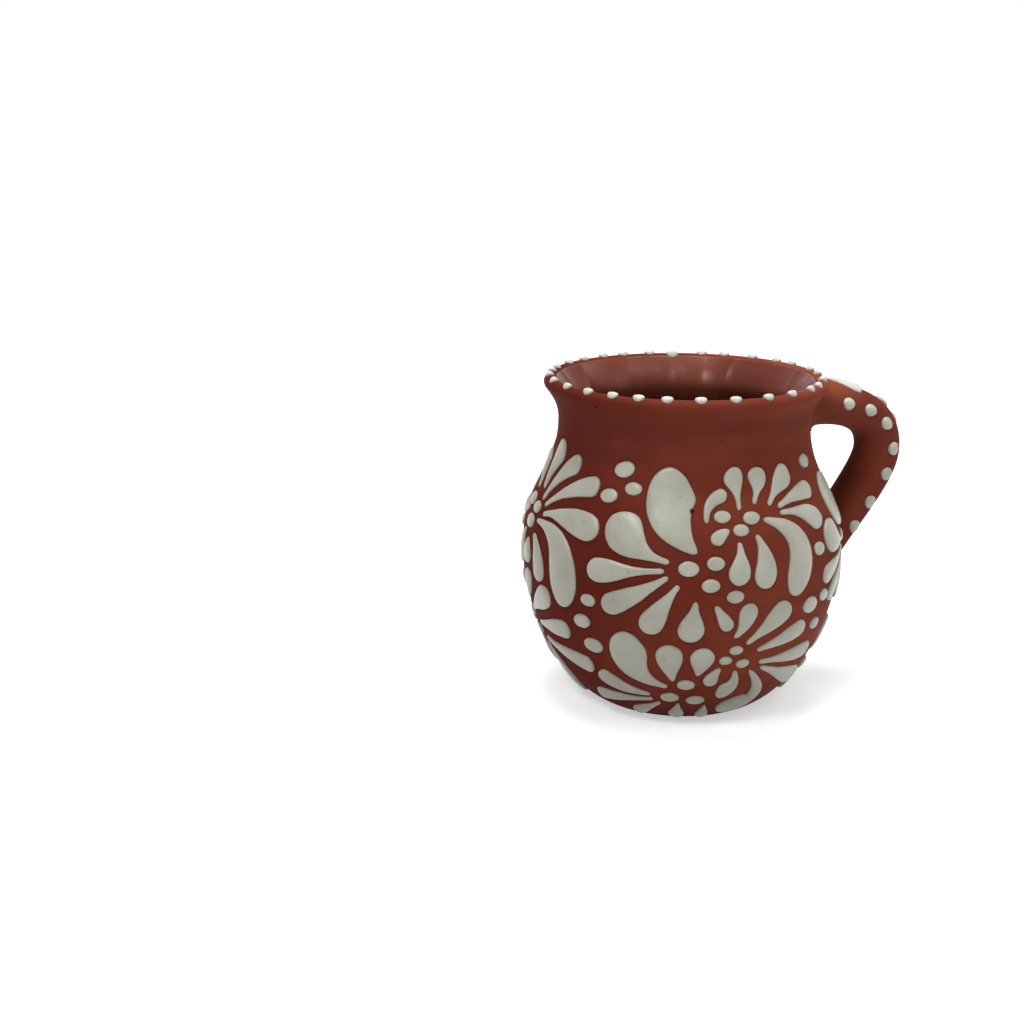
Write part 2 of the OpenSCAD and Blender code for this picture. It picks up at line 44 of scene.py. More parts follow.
# Camera, as the photograph was taken
CAMERA_PLACE = Vector((-157.04, -377.85, 162.6)) * MM
CAMERA_LOOK = Vector((0.2659, 0.9273, -0.2637))
LENS_MM = 53.4

camera_data = bpy.data.cameras.new("photo_camera")
camera_data.lens = LENS_MM
camera_data.sensor_width = 36
camera_data.clip_start = 0.01
camera = bpy.data.objects.new("photo_camera", camera_data)
bpy.context.scene.collection.objects.link(camera)
camera.location = CAMERA_PLACE
camera.rotation_euler = CAMERA_LOOK.to_track_quat("-Z", "Y").to_euler()
bpy.context.scene.camera = camera
bpy.context.scene.view_settings.view_transform = "Standard"

# Sizes, as in the CAD part
MUG_H = 90 * MM
BELLY_R = 87.4 / 2 * MM
BELLY_Z = 43.5 * MM
FOOT_R = 45 / 2 * MM
NECK_R = 68.2 / 2 * MM
NECK_DROP = 12 * MM
NECK_Z = MUG_H - NECK_DROP
LIP_T = 3.6 * MM
LIP_R = LIP_T / 2
LIP_RING_R = 76.2 / 2 * MM - LIP_R
LIP_RING_Z = MUG_H - LIP_R
LIP_FLARE = math.radians(52)
WALL_T = 4.2 * MM
FLOOR_T = 5 * MM
GLAZE_T = 0.4 * MM
HANDLE_REACH = 65.4 * MM
HANDLE_TOP_Z = MUG_H - 8.6 * MM
HANDLE_BOW_Z = 66.5 * MM
HANDLE_LOW_Z = 39 * MM
HANDLE_W = 15 * MM
HANDLE_T = 12 * MM
HANDLE_TOP_T = 10 * MM
SLIP_T = 0.9 * MM
SLIP_FULL_W = 4.5 * MM
RIM_DOT_L = 3.1 * MM
RIM_DOT_W = 2.4 * MM
HANDLE_DOT_D = 3.5 * MM
SUNK = 0.15 * MM


def cubic(p, t):
    """Points of a cubic curve through p[0] and p[3] at the shares t."""
    p = np.array(p, float)
    t = np.atleast_1d(t)[:, None]
    return ((1 - t) ** 3 * p[0] + 3 * t * (1 - t) ** 2 * p[1]
            + 3 * t * t * (1 - t) * p[2] + t ** 3 * p[3])


def cubic_way(p, t):
    """Unit directions of the same curve."""
    p = np.array(p, float)
    t = np.atleast_1d(t)[:, None]
    d = (1 - t) ** 2 * (p[1] - p[0]) + 2 * t * (1 - t) * (p[2] - p[1]) + t * t * (p[3] - p[2])
    return d / np.linalg.norm(d, axis=1)[:, None]


# The pot's profile: three curves up the outside, each given by its ends and what pulls it
LIP_START = np.array([LIP_RING_R + LIP_R * math.sin(LIP_FLARE),
                      LIP_RING_Z - LIP_R * math.cos(LIP_FLARE)])
FLARE_WAY = np.array([math.cos(LIP_FLARE), math.sin(LIP_FLARE)])
UPPER_RISE = NECK_Z - BELLY_Z
LOWER = [(FOOT_R, 0), (FOOT_R * 0.39 + BELLY_R * 0.61 - WALL_T, BELLY_Z * 0.074),
         (BELLY_R, BELLY_Z * 0.46), (BELLY_R, BELLY_Z)]
UPPER = [(BELLY_R, BELLY_Z), (BELLY_R, BELLY_Z + UPPER_RISE * 0.45),
         (NECK_R, BELLY_Z + UPPER_RISE * 0.58), (NECK_R, NECK_Z)]
FLARE = [(NECK_R, NECK_Z), (NECK_R, NECK_Z + NECK_DROP * 0.33),
         tuple(LIP_START - FLARE_WAY * NECK_DROP * 0.28), tuple(LIP_START)]
STEPS = np.linspace(0, 1, 33)
LIP_STEPS = 18


def off_line(p, t, thick):
    """Points of a curve set in by a thickness, on its inner side."""
    way = cubic_way(p, t)
    return cubic(p, t) + np.array(thick).reshape(-1, 1) * np.stack([-way[:, 1], way[:, 0]], 1)


def inner_wall(back):
    """The inner wall from the lip down to the axis; back is how much further in it lies."""
    down = STEPS[::-1]
    flare = off_line(FLARE, down, (1 - down) * WALL_T + down * LIP_T + back)
    upper = off_line(UPPER, down[1:], np.full(len(down) - 1, WALL_T + back))
    bowl = cubic([(BELLY_R - WALL_T - back, BELLY_Z), (BELLY_R - WALL_T - back, BELLY_Z * 0.46),
                  (FOOT_R, FLOOR_T + back), (0, FLOOR_T + back)], STEPS[1:])
    return np.concatenate([flare, upper, bowl])


OUTER = np.concatenate([cubic(LOWER, STEPS), cubic(UPPER, STEPS[1:]), cubic(FLARE, STEPS[1:])])
lip_turns = LIP_FLARE - math.pi / 2 + math.pi * np.arange(1, LIP_STEPS) / LIP_STEPS
LIP_ARC = np.stack([LIP_RING_R + LIP_R * np.cos(lip_turns),
                    LIP_RING_Z + LIP_R * np.sin(lip_turns)], 1)
WALL_LENGTHS = np.concatenate([[0], np.cumsum(np.linalg.norm(np.diff(OUTER, axis=0), axis=1))])
WALL_LEN = WALL_LENGTHS[-1]

# Half the width and height of a flower, and what its strokes take from them
BLOOM_W = BELLY_R * 0.458
BLOOM_H = WALL_LEN * 0.206
BLOOM_REACH = min(BLOOM_W, BLOOM_H)
PETAL_TIP_W = BLOOM_REACH * 0.075
DOT_L = BLOOM_REACH * 0.235
DOT_W = BLOOM_REACH * 0.178


def wall_radius(z):
    """Radius of the outer wall at a height."""
    return np.interp(z, OUTER[:, 1], OUTER[:, 0])


# Geometry Nodes, written as sums
class Field:
    """A value in a node tree that adds and multiplies into new nodes of that tree."""

    def __init__(self, book, socket):
        self.book, self.socket = book, socket

    def __add__(self, other):
        return self.book.join("ADD", self, other)

    def __radd__(self, other):
        return self.book.join("ADD", other, self)

    def __sub__(self, other):
        return self.book.join("SUBTRACT", self, other)

    def __rsub__(self, other):
        return self.book.join("SUBTRACT", other, self)

    def __mul__(self, other):
        return self.book.join("MULTIPLY", self, other)

    def __truediv__(self, other):
        return self.book.join("DIVIDE", self, other)

    def __rtruediv__(self, other):
        return self.book.join("DIVIDE", other, self)

    def __pow__(self, other):
        return self.book.join("POWER", self, other)

    def __neg__(self):
        return self.book.join("MULTIPLY", self, -1.0)


def is_vector(value):
    """True for a field of places or directions."""
    return isinstance(value, Field) and value.socket.type == "VECTOR"


class Book:
    """Writes nodes into one tree: a Geometry Nodes tree, a shader group or a material."""

    def __init__(self, tree):
        self.tree = tree
        self.nodes = tree.nodes

    def add(self, kind, values=None, **settings):
        """A node, with its settings and the values or fields for its inputs, by name or place."""
        node = self.nodes.new(kind)
        for name, value in settings.items():
            setattr(node, name, value)
        for name, value in (values or {}).items():
            self.feed(node, name, value)
        return node

    def feed(self, node, name, value):
        """Sets one input of a node, to a plain value or from a field."""
        if isinstance(name, int):
            socket = node.inputs[name]
        else:
            socket = next(s for s in node.inputs if s.name == name and s.enabled)
        if isinstance(value, Field):
            self.tree.links.new(value.socket, socket)
        else:
            socket.default_value = value

    def out(self, node, name=0):
        """The field that a node puts out, by name or place."""
        if isinstance(name, int):
            return Field(self, node.outputs[name])
        return Field(self, next(s for s in node.outputs if s.name == name and s.enabled))

    def join(self, operation, a, b=None):
        """Two values joined by a sum, a product or any other operation."""
        if is_vector(a) and operation == "MULTIPLY" and not is_vector(b):
            node = self.add("ShaderNodeVectorMath", {0: a, "Scale": b}, operation="SCALE")
            return self.out(node)
        if is_vector(b) and operation == "MULTIPLY" and not is_vector(a):
            return self.join(operation, b, a)
        kind = "ShaderNodeVectorMath" if is_vector(a) or is_vector(b) else "ShaderNodeMath"
        values = {0: a} if b is None else {0: a, 1: b}
        return self.out(self.add(kind, values, operation=operation))

    def sine(self, a):
        return self.join("SINE", a)

    def cosine(self, a):
        return self.join("COSINE", a)

    def root(self, a):
        return self.join("SQRT", self.at_least(a, 0.0))

    def at_least(self, a, low):
        return self.join("MAXIMUM", a, low)

    def at_most(self, a, high):
        return self.join("MINIMUM", a, high)

    def share(self, a):
        """A value kept between 0 and 1."""
        return self.at_least(self.at_most(a, 1.0), 0.0)

    def near(self, a, middle, reach):
        """1 where a value is at the middle, down to 0 where it is a reach away."""
        return self.at_least(1.0 - self.join("ABSOLUTE", a - middle) / reach, 0.0)

    def blend(self, a, b, share):
        return a * (1.0 - share) + b * share

    def vector(self, x, y, z):
        return self.out(self.add("ShaderNodeCombineXYZ", {0: x, 1: y, 2: z}))

    def parts(self, a):
        node = self.add("ShaderNodeSeparateXYZ", {0: a})
        return [self.out(node, k) for k in range(3)]

    def unit(self, a):
        return self.join("NORMALIZE", a)

    def length(self, a):
        node = self.add("ShaderNodeVectorMath", {0: a}, operation="LENGTH")
        return self.out(node, "Value")

    def attribute(self, name, kind="FLOAT"):
        """A named attribute, inside Geometry Nodes."""
        node = self.add("GeometryNodeInputNamedAttribute", {"Name": name}, data_type=kind)
        return self.out(node, "Attribute")

    def keep(self, shape, name, value, kind="FLOAT"):
        """Stores a field on the points of a shape."""
        node = self.add("GeometryNodeStoreNamedAttribute", data_type=kind, domain="POINT")
        for socket, given in (("Geometry", shape), ("Name", name), ("Value", value)):
            self.feed(node, socket, given)
        return self.out(node)

    def noise(self, place, scale, detail=2.0, rough=0.5):
        """Noise from 0 to 1 at a place."""
        node = self.add("ShaderNodeTexNoise", {"Vector": place, "Scale": scale, "Detail": detail,
                                               "Roughness": rough})
        return self.out(node, 0)


def new_tree(name, inputs, kind="GeometryNodeTree", outputs=(("Geometry", "NodeSocketGeometry"),)):
    """A node tree with named inputs; returns its book, its input fields and its output node."""
    tree = bpy.data.node_groups.new(name, kind)
    for label, socket_type, value in inputs:
        socket = tree.interface.new_socket(name=label, in_out="INPUT", socket_type=socket_type)
        if value is not None:
            socket.default_value = value
    for label, socket_type in outputs:
        tree.interface.new_socket(name=label, in_out="OUTPUT", socket_type=socket_type)
    book = Book(tree)
    entry = book.add("NodeGroupInput")
    given = {label: book.out(entry, k) for k, (label, _, _) in enumerate(inputs)}
    return book, given, book.add("NodeGroupOutput")


def grow(piece, book, settings):
    """Runs a tree on a piece and leaves the result as its plain mesh, faces outwards."""
    modifier = piece.modifiers.new(book.tree.name, "NODES")
    modifier.node_group = book.tree
    for item in book.tree.interface.items_tree:
        if item.in_out == "INPUT" and item.name in settings:
            modifier[item.identifier] = settings[item.name]
    found = piece.evaluated_get(bpy.context.evaluated_depsgraph_get())
    mesh = bpy.data.meshes.new_from_object(found, preserve_all_data_layers=True,
                                           depsgraph=bpy.context.evaluated_depsgraph_get())
    piece.modifiers.clear()
    piece.data = mesh
    shape = bmesh.new()
    shape.from_mesh(mesh)
    bmesh.ops.recalc_face_normals(shape, faces=shape.faces)
    shape.to_mesh(mesh)
    shape.free()
    return piece


def new_piece(name, points, edges=(), faces=()):
    mesh = bpy.data.meshes.new(name)
    mesh.from_pydata([tuple(map(float, p)) for p in points], list(edges), list(faces))
    piece = bpy.data.objects.new(name, mesh)
    bpy.context.scene.collection.objects.link(piece)
    return piece


# The blank that every stroke of slip is made from, from 0 at its tip to 1 at its head; the
# swelling is raised to a power, so it is kept above nothing
TINY = 0.0001
stroke_book, given, stroke_out = new_tree("stroke_shape", [
    ("Blank", "NodeSocketVector", None),
    ("Width", "NodeSocketFloat", 0.004),
    ("Tip Width", "NodeSocketFloat", 0.0015),
    ("Tip Share", "NodeSocketFloat", 0.1),
    ("Head Share", "NodeSocketFloat", 0.3),
    ("Swell", "NodeSocketFloat", 1.0),
    ("Height", "NodeSocketFloat", 0.001),
    ("Full Width", "NodeSocketFloat", 0.0045),
    ("Squareness", "NodeSocketFloat", 3.0),
    ("Sunk", "NodeSocketFloat", 0.00015),
], outputs=(("Along", "NodeSocketFloat"), ("Across", "NodeSocketFloat"),
            ("Up", "NodeSocketFloat"), ("Rise", "NodeSocketFloat")))
b = stroke_book
side, over, step = b.parts(given["Blank"])
along = (1.0 - b.cosine((step + 0.5) * math.pi)) * 0.5
to_head = b.at_most(along / (1.0 - given["Head Share"]), 1.0)
swelling = b.at_least(b.sine(to_head * (math.pi / 2)), TINY) ** (given["Swell"] * 2.0)
half_w = b.blend(given["Tip Width"], given["Width"], swelling) * 0.5
tip_left = 1.0 - b.at_most(along / given["Tip Share"], 1.0)
head_run = b.at_least((along - (1.0 - given["Head Share"])) / given["Head Share"], 0.0)
half_w = half_w * b.root(1.0 - tip_left * tip_left) * b.root(1.0 - head_run * head_run)
high = given["Height"] * b.root(b.at_most(half_w * 2.0 / given["Full Width"], 1.0))
power = 2.0 / given["Squareness"]
side_size = b.join("ABSOLUTE", side) ** power
across = b.join("SIGN", side) * side_size * half_w
crown = b.at_least(over, 0.0) ** power
under = b.at_most(over, 0.0) * given["Sunk"]
b.feed(stroke_out, "Along", along)
b.feed(stroke_out, "Across", across)
b.feed(stroke_out, "Up", high * crown + under)
b.feed(stroke_out, "Rise", crown * b.root(b.at_most(half_w * 2.0 / given["Full Width"], 1.0)))

# How finely strokes are made; points closer than the pole's gap become one
POINTS_ROUND = 24
WALL_RINGS, CLAY_RINGS = 30, 24
POLE_GAP = 0.01 * MM
WOBBLE_SCALE = 260.0
STROKE_INPUTS = [
    ("Strokes", "NodeSocketGeometry", None),
    ("Points Round", "NodeSocketInt", POINTS_ROUND),
    ("Rings Along", "NodeSocketInt", WALL_RINGS),
    ("Height", "NodeSocketFloat", SLIP_T),
    ("Full Width", "NodeSocketFloat", SLIP_FULL_W),
    ("Squareness", "NodeSocketFloat", 3.2),
    ("Sunk", "NodeSocketFloat", SUNK),
    ("Wobble", "NodeSocketFloat", 0.0),
    ("Material", "NodeSocketMaterial", None),
]


def lay_blanks(b, given):
    """Puts a blank on each stroke's point and works out the stroke's shape; returns both."""
    blank = b.out(b.add("GeometryNodeMeshCylinder", {
        "Vertices": given["Points Round"], "Side Segments": given["Rings Along"],
        "Radius": 1.0, "Depth": 1.0}, fill_type="TRIANGLE_FAN"), "Mesh")
    place = b.out(b.add("GeometryNodeInputPosition"))
    blank = b.keep(blank, "blank", place, "FLOAT_VECTOR")
    laid = b.out(b.add("GeometryNodeInstanceOnPoints", {"Points": given["Strokes"],
                                                        "Instance": blank}))
    laid = b.out(b.add("GeometryNodeRealizeInstances", {"Geometry": laid}))
    shape = b.add("GeometryNodeGroup", node_tree=stroke_book.tree)
    b.feed(shape, "Blank", b.attribute("blank", "FLOAT_VECTOR"))
    for label, name in (("Width", "width"), ("Tip Width", "tip_width"), ("Swell", "swell"),
                        ("Tip Share", "tip_share"), ("Head Share", "head_share")):
        b.feed(shape, label, b.attribute(name))
    for label in ("Height", "Full Width", "Squareness", "Sunk"):
        b.feed(shape, label, given[label])
    return laid, [b.out(shape, label) for label in ("Along", "Across", "Up", "Rise")]


def end_strokes(b, given, out, laid, place, rise):
    """Sets the points, keeps how high each stands, and closes the poles."""
    laid = b.keep(laid, "rise", rise)
    shape = b.out(b.add("GeometryNodeSetPosition", {"Geometry": laid, "Position": place}))
    shape = b.out(b.add("GeometryNodeMergeByDistance", {"Geometry": shape, "Distance": POLE_GAP}))
    shape = b.out(b.add("GeometryNodeSetShadeSmooth", {"Geometry": shape, "Shade Smooth": True}))
    shape = b.out(b.add("GeometryNodeSetMaterial", {"Geometry": shape,
                                                    "Material": given["Material"]}))
    b.feed(out, "Geometry", shape)


# Slip trailed on the wall: laid out flat, then wrapped round the pot by the length of wall
wall_book, given, wall_out = new_tree("slip_on_wall", STROKE_INPUTS + [
    ("Wall Line", "NodeSocketObject", None),
    ("Belly Radius", "NodeSocketFloat", BELLY_R),
])
b = wall_book
laid, (along, across, up, rise) = lay_blanks(b, given)
tip, head = b.attribute("tip", "FLOAT_VECTOR"), b.attribute("head", "FLOAT_VECTOR")
way = head - tip
way_x, way_y, _ = b.parts(b.unit(way))
bend = tip + way * b.attribute("bend_share")
bend = bend + b.vector(-way_y, way_x, 0.0) * (b.attribute("bow") * 2.0)
left = 1.0 - along
flat = tip * (left * left) + bend * (left * along * 2.0) + head * (along * along)
way_x, way_y, _ = b.parts(b.unit((bend - tip) * left + (head - bend) * along))
flat = flat + b.vector(-way_y, way_x, 0.0) * across
wobble_x = b.noise(flat, WOBBLE_SCALE) - 0.5
wobble_y = b.noise(flat + b.vector(1.0, 2.0, 3.0), WOBBLE_SCALE) - 0.5
flat = flat + b.vector(wobble_x, wobble_y, 0.0) * given["Wobble"]
flat_x, flat_y, _ = b.parts(flat)
line = b.add("GeometryNodeObjectInfo", {"Object": given["Wall Line"]})
line = b.out(b.add("GeometryNodeMeshToCurve", {"Mesh": b.out(line, "Geometry")}))
sample = b.add("GeometryNodeSampleCurve", mode="LENGTH", use_all_curves=True)
b.feed(sample, "Curves", line)
b.feed(sample, "Length", flat_y)
radius, _, height = b.parts(b.out(sample, "Position"))
way_r, _, way_z = b.parts(b.out(sample, "Tangent"))
turn = flat_x / given["Belly Radius"]
radius = radius + up * way_z
place = b.vector(radius * b.cosine(turn), radius * b.sine(turn), height - up * way_r)
end_strokes(b, given, wall_out, laid, place, rise)

# Slip set on the lip and the handle: each stroke is dropped on the clay under it
DROP_REACH = 6 * MM
clay_book, given, clay_out = new_tree("slip_on_clay", STROKE_INPUTS + [
    ("Clay", "NodeSocketObject", None),
    ("Reach", "NodeSocketFloat", DROP_REACH),
])
b = clay_book
laid, (along, across, up, rise) = lay_blanks(b, given)
seat, off = b.attribute("seat", "FLOAT_VECTOR"), b.attribute("off", "FLOAT_VECTOR")
way, long = b.attribute("way", "FLOAT_VECTOR"), b.attribute("long")
off = b.unit(off)
beside = b.join("CROSS_PRODUCT", off, way)
flat = seat + way * ((along - 0.5) * long) + beside * across
wobble = b.noise(flat, WOBBLE_SCALE) - 0.5
flat = flat + way * (wobble * given["Wobble"])
clay = b.out(b.add("GeometryNodeObjectInfo", {"Object": given["Clay"]}), "Geometry")
ray = b.add("GeometryNodeRaycast")
for label, value in (("Target Geometry", clay), ("Source Position", flat + off * given["Reach"]),
                     ("Ray Direction", -off), ("Ray Length", given["Reach"] * 2.0)):
    b.feed(ray, label, value)
place = b.out(ray, "Hit Position") + off * up
end_strokes(b, given, clay_out, laid, place, rise)

# A pot thrown on a wheel: the profile's points turned round, a little out of round
STATIONS_ROUND = 240
SWING_SCALE = 0.9
RIPPLE_SCALE, RIPPLE_RISE = 3.2, 6.0
SEAM_GAP = 0.002 * MM
pot_book, given, pot_out = new_tree("thrown_on_wheel", [
    ("Profile", "NodeSocketGeometry", None),
    ("Profile Points", "NodeSocketInt", 100),
    ("Stations Round", "NodeSocketInt", STATIONS_ROUND),
    ("Out of Round", "NodeSocketFloat", 0.0),
    ("Ripple", "NodeSocketFloat", 0.0),
    ("Material", "NodeSocketMaterial", None),
])
b = pot_book
grid = b.out(b.add("GeometryNodeMeshGrid", {
    "Size X": 1.0, "Size Y": 1.0, "Vertices X": given["Stations Round"] + 1,
    "Vertices Y": given["Profile Points"]}), "Mesh")
grid_x, grid_y, _ = b.parts(b.out(b.add("GeometryNodeInputPosition")))
row = b.join("ROUND", (grid_y + 0.5) * (given["Profile Points"] - 1.0))
sample = b.add("GeometryNodeSampleIndex", data_type="FLOAT_VECTOR", domain="POINT")
b.feed(sample, "Geometry", given["Profile"])
b.feed(sample, "Value", b.out(b.add("GeometryNodeInputPosition")))
b.feed(sample, "Index", row)
radius, _, height = b.parts(b.out(sample))
turn = (grid_x + 0.5) * (2 * math.pi)
ring = b.vector(b.cosine(turn), b.sine(turn), 0.0)
swing = (b.noise(ring, SWING_SCALE, 0.0) - 0.5) * given["Out of Round"] * height / MUG_H
ripple = b.noise(ring + b.vector(0.0, 0.0, height * RIPPLE_RISE), RIPPLE_SCALE, 1.0) - 0.5
radius = radius + b.at_most(radius / BELLY_R * 2.0, 1.0) * (swing + ripple * given["Ripple"])
place = b.vector(radius * b.cosine(turn), radius * b.sine(turn), height)
shape = b.out(b.add("GeometryNodeSetPosition", {"Geometry": grid, "Position": place}))
shape = b.out(b.add("GeometryNodeMergeByDistance", {"Geometry": shape, "Distance": SEAM_GAP}))
shape = b.out(b.add("GeometryNodeSetShadeSmooth", {"Geometry": shape, "Shade Smooth": True}))
shape = b.out(b.add("GeometryNodeSetMaterial", {"Geometry": shape, "Material": given["Material"]}))
b.feed(pot_out, "Geometry", shape)

# Materials
shader_inputs = [("Place", "NodeSocketVector", None), ("Scale", "NodeSocketFloat", 40.0)]
shader_outputs = (("Mask", "NodeSocketFloat"),)

# Soft clouds in a fired surface, from 0 to 1
cloud_book, given, cloud_out = new_tree(
    "fire_clouds", shader_inputs + [("Contrast", "NodeSocketFloat", 1.0)],
    "ShaderNodeTree", shader_outputs)
b = cloud_book
clouds = b.noise(given["Place"], given["Scale"], 3.0, 0.55)
b.feed(cloud_out, "Mask", b.share((clouds - 0.5) * given["Contrast"] * 2.0 + 0.5))

# Small pits and specks, 1 in the middle of each, in the cells that a wide noise chooses
CHOSEN_SCALE, CHOSEN_FROM = 0.37, 0.56
speck_book, given, speck_out = new_tree(
    "specks", shader_inputs + [("Size", "NodeSocketFloat", 0.2)],
    "ShaderNodeTree", shader_outputs)
b = speck_book
cells = b.add("ShaderNodeTexVoronoi", {"Vector": given["Place"], "Scale": given["Scale"]})
gap = b.out(cells, "Distance") / given["Size"]
wide = b.noise(given["Place"], given["Scale"] * CHOSEN_SCALE, 0.0)
chosen = b.join("GREATER_THAN", wide, CHOSEN_FROM)
b.feed(speck_out, "Mask", b.at_least(1.0 - gap, 0.0) * chosen)

# Fine grain with streaks round the pot, where the wheel and the burnishing stone ran
STREAK_LONG, STREAK_THIN = 0.25, 9.0
grain_book, given, grain_out = new_tree(
    "wheel_grain", shader_inputs + [("Streaks", "NodeSocketFloat", 0.5)],
    "ShaderNodeTree", (("Height", "NodeSocketFloat"),))
b = grain_book
x, y, z = b.parts(given["Place"])
drawn_out = b.vector(x * STREAK_LONG, y * STREAK_LONG, z * STREAK_THIN)
streaks = b.noise(drawn_out, given["Scale"] * 0.3, 3.0)
grain = b.noise(given["Place"], given["Scale"] * 6.0, 3.0, 0.6)
b.feed(grain_out, "Height", b.blend(grain, streaks, given["Streaks"]))

# Upright flutes inside, where the potter's fingers pressed, with a crease between each two
FLUTE_LEAN = 7.0
WAVE_SHARE = 0.25
flute_book, given, flute_out = new_tree("finger_flutes", shader_inputs, "ShaderNodeTree",
                                        (("Height", "NodeSocketFloat"),))
b = flute_book
x, y, z = b.parts(given["Place"])
ring = b.unit(b.vector(x, y, 0.0)) + b.vector(0.0, 0.0, z * FLUTE_LEAN)
cells = b.add("ShaderNodeTexVoronoi", {"Vector": ring, "Scale": given["Scale"],
                                       "Randomness": 0.8})
hollow = b.out(cells, "Distance")
waves = b.noise(ring, given["Scale"] * 2.0, 1.0, 0.4)
b.feed(flute_out, "Height", hollow * hollow + waves * WAVE_SHARE)


def group(b, book, place, scale, **values):
    """Puts a shader group into a material and returns what it puts out."""
    node = b.add("ShaderNodeGroup", {"Place": place, "Scale": scale}, node_tree=book.tree)
    for label, value in values.items():
        b.feed(node, label, value)
    return b.out(node, 0)


def new_material(name):
    material = bpy.data.materials.new(name)
    material.use_nodes = True
    b = Book(material.node_tree)
    shader = next(n for n in b.nodes if n.type == "BSDF_PRINCIPLED")
    place = b.out(b.add("ShaderNodeTexCoord"), "Object")
    return material, b, shader, place


def srgb(r, g, bl):
    """A colour in the eight-bit numbers of a picture, as a shader takes it."""
    return tuple((c / 255 / 12.92 if c <= 10 else ((c / 255 + 0.055) / 1.055) ** 2.4)
                 for c in (r, g, bl)) + (1.0,)


def washed(b, colour, washes):
    """A colour with others laid over it one by one, each by its share."""
    for tint, share in washes:
        node = b.add("ShaderNodeMix", data_type="RGBA")
        for label, value in (("Factor", share), ("A", colour), ("B", srgb(*tint))):
            b.feed(node, label, value)
        colour = b.out(node, "Result")
    return colour


def bump(b, shader, height, strength, distance):
    node = b.add("ShaderNodeBump", {"Height": height, "Strength": strength,
                                    "Distance": distance})
    b.feed(shader, "Normal", b.out(node))


# Two pinholes seen in the photograph, one of them at the hollow edge of a petal
PINHOLES = (((-0.0122, -0.0369, 0.0623), 0.0009), ((-0.032, -0.0191, 0.0865), 0.0006))
PINHOLE_EDGE = 2.5
FAR_OFF = 2.0


def pinholes(b, place):
    """1 in the two pinholes and 0 outside them."""
    nearest = FAR_OFF
    for spot, radius in PINHOLES:
        nearest = b.at_most(b.length(place - b.vector(*spot)) / radius, nearest)
    return b.share((1.0 - nearest) * PINHOLE_EDGE)


# Colours of the clay, in the numbers of a picture: its two ends, then what lies over them, some of
# them painted light and shade
COOL_CLAY, WARM_CLAY = (102, 32, 19), (150, 77, 54)
BAND_CLAY, CLOUD_CLAY = (84, 36, 30), (86, 38, 32)
LIP_SHADE_CLAY, SMEAR_CLAY = (70, 36, 35), (74, 36, 36)
FOOT_SHADE_CLAY, LEFT_SHADE_CLAY = (62, 28, 24), (58, 13, 8)
BELLY_SHADE_CLAY, GRIP_CLAY = (66, 18, 11), (84, 34, 28)
SPECK_CLAY = (24, 10, 9)
LIP_SHADE_Z, LIP_SHADE_REACH = 81.5 * MM, 4.5 * MM
SMEAR_Z, SMEAR_REACH = 78 * MM, 12 * MM
FOOT_SHADE_REACH = 30 * MM
BELLY_SHADE_Z, BELLY_SHADE_REACH = 43 * MM, 28 * MM
LEFT_SHADE_FROM, LEFT_SHADE_REACH = 18 * MM, 18 * MM
GRIP_FROM, GRIP_REACH = 46 * MM, 8 * MM
FLATTENED = 6.0
WARM_TURN, WARM_SPAN, WARM_MIDDLE = 0.35, 100 * MM, 0.45

clay_material, b, shader, place = new_material("fired_red_clay")
x, y, z = b.parts(place)
clouds = group(b, cloud_book, place, scale=26.0, Contrast=1.1)
fine_clouds = group(b, cloud_book, place, scale=130.0, Contrast=0.8)
flat_place = b.vector(x, y, z * FLATTENED)
bands = group(b, cloud_book, flat_place, scale=11.0, Contrast=1.6)
smears = group(b, cloud_book, flat_place, scale=34.0, Contrast=2.2)
specks = group(b, speck_book, place, scale=300.0, Size=0.17)
# The two pinholes join the dark specks; their dark is painted shade in the holes
specks = b.at_least(specks * 0.45, pinholes(b, place))
# Warmer and lighter towards the handle side: painted light on that side, mixed with warm clouds
# that are the clay's own
lit_toward_handle = b.share((x - y * WARM_TURN) / WARM_SPAN + WARM_MIDDLE)
warm = b.share(lit_toward_handle * 0.75 + clouds * 0.45 - 0.15)
b.feed(shader, "Base Color", washed(b, srgb(*COOL_CLAY), [
    (WARM_CLAY, warm),
    (BAND_CLAY, bands * 0.4),
    (CLOUD_CLAY, fine_clouds * 0.3),
    # Painted shade under the lip flare, in patches
    (LIP_SHADE_CLAY, b.near(z, LIP_SHADE_Z, LIP_SHADE_REACH) * clouds * 0.5),
    (SMEAR_CLAY, b.near(z, SMEAR_Z, SMEAR_REACH) * smears * 0.3),
    # Painted shade, darker towards the foot
    (FOOT_SHADE_CLAY, b.at_least(1.0 - z / FOOT_SHADE_REACH, 0.0) * 0.4),
    # Painted shade, darker on the left side
    (LEFT_SHADE_CLAY, b.share((-x - LEFT_SHADE_FROM) / LEFT_SHADE_REACH) * 0.38),
    # Painted shade round the belly
    (BELLY_SHADE_CLAY, b.near(z, BELLY_SHADE_Z, BELLY_SHADE_REACH) * 0.27),
    (GRIP_CLAY, b.share((x - GRIP_FROM) / GRIP_REACH) * 0.45),
    (SPECK_CLAY, specks * 0.85)]))
grain = group(b, grain_book, place, scale=500.0, Streaks=0.55)
b.feed(shader, "Roughness", 0.62 + grain * 0.24)
b.feed(shader, "Specular IOR Level", 0.03)
bump(b, shader, grain - specks * 1.5, 0.35, 0.25 * MM)

# Colours of the glaze; low inside the mug it is darker and reflects less, painted shade deep in
# the mug
DULL_GLAZE, BRIGHT_GLAZE = (86, 30, 17), (112, 48, 29)
WARM_SHINE = (1.0, 0.84, 0.74, 1.0)
DEEP_SHADE_GLAZE, SPECK_GLAZE = (34, 12, 8), (44, 18, 14)
DEEP_SHADE_Z, DEEP_SHADE_REACH = 83.8 * MM, 3.2 * MM

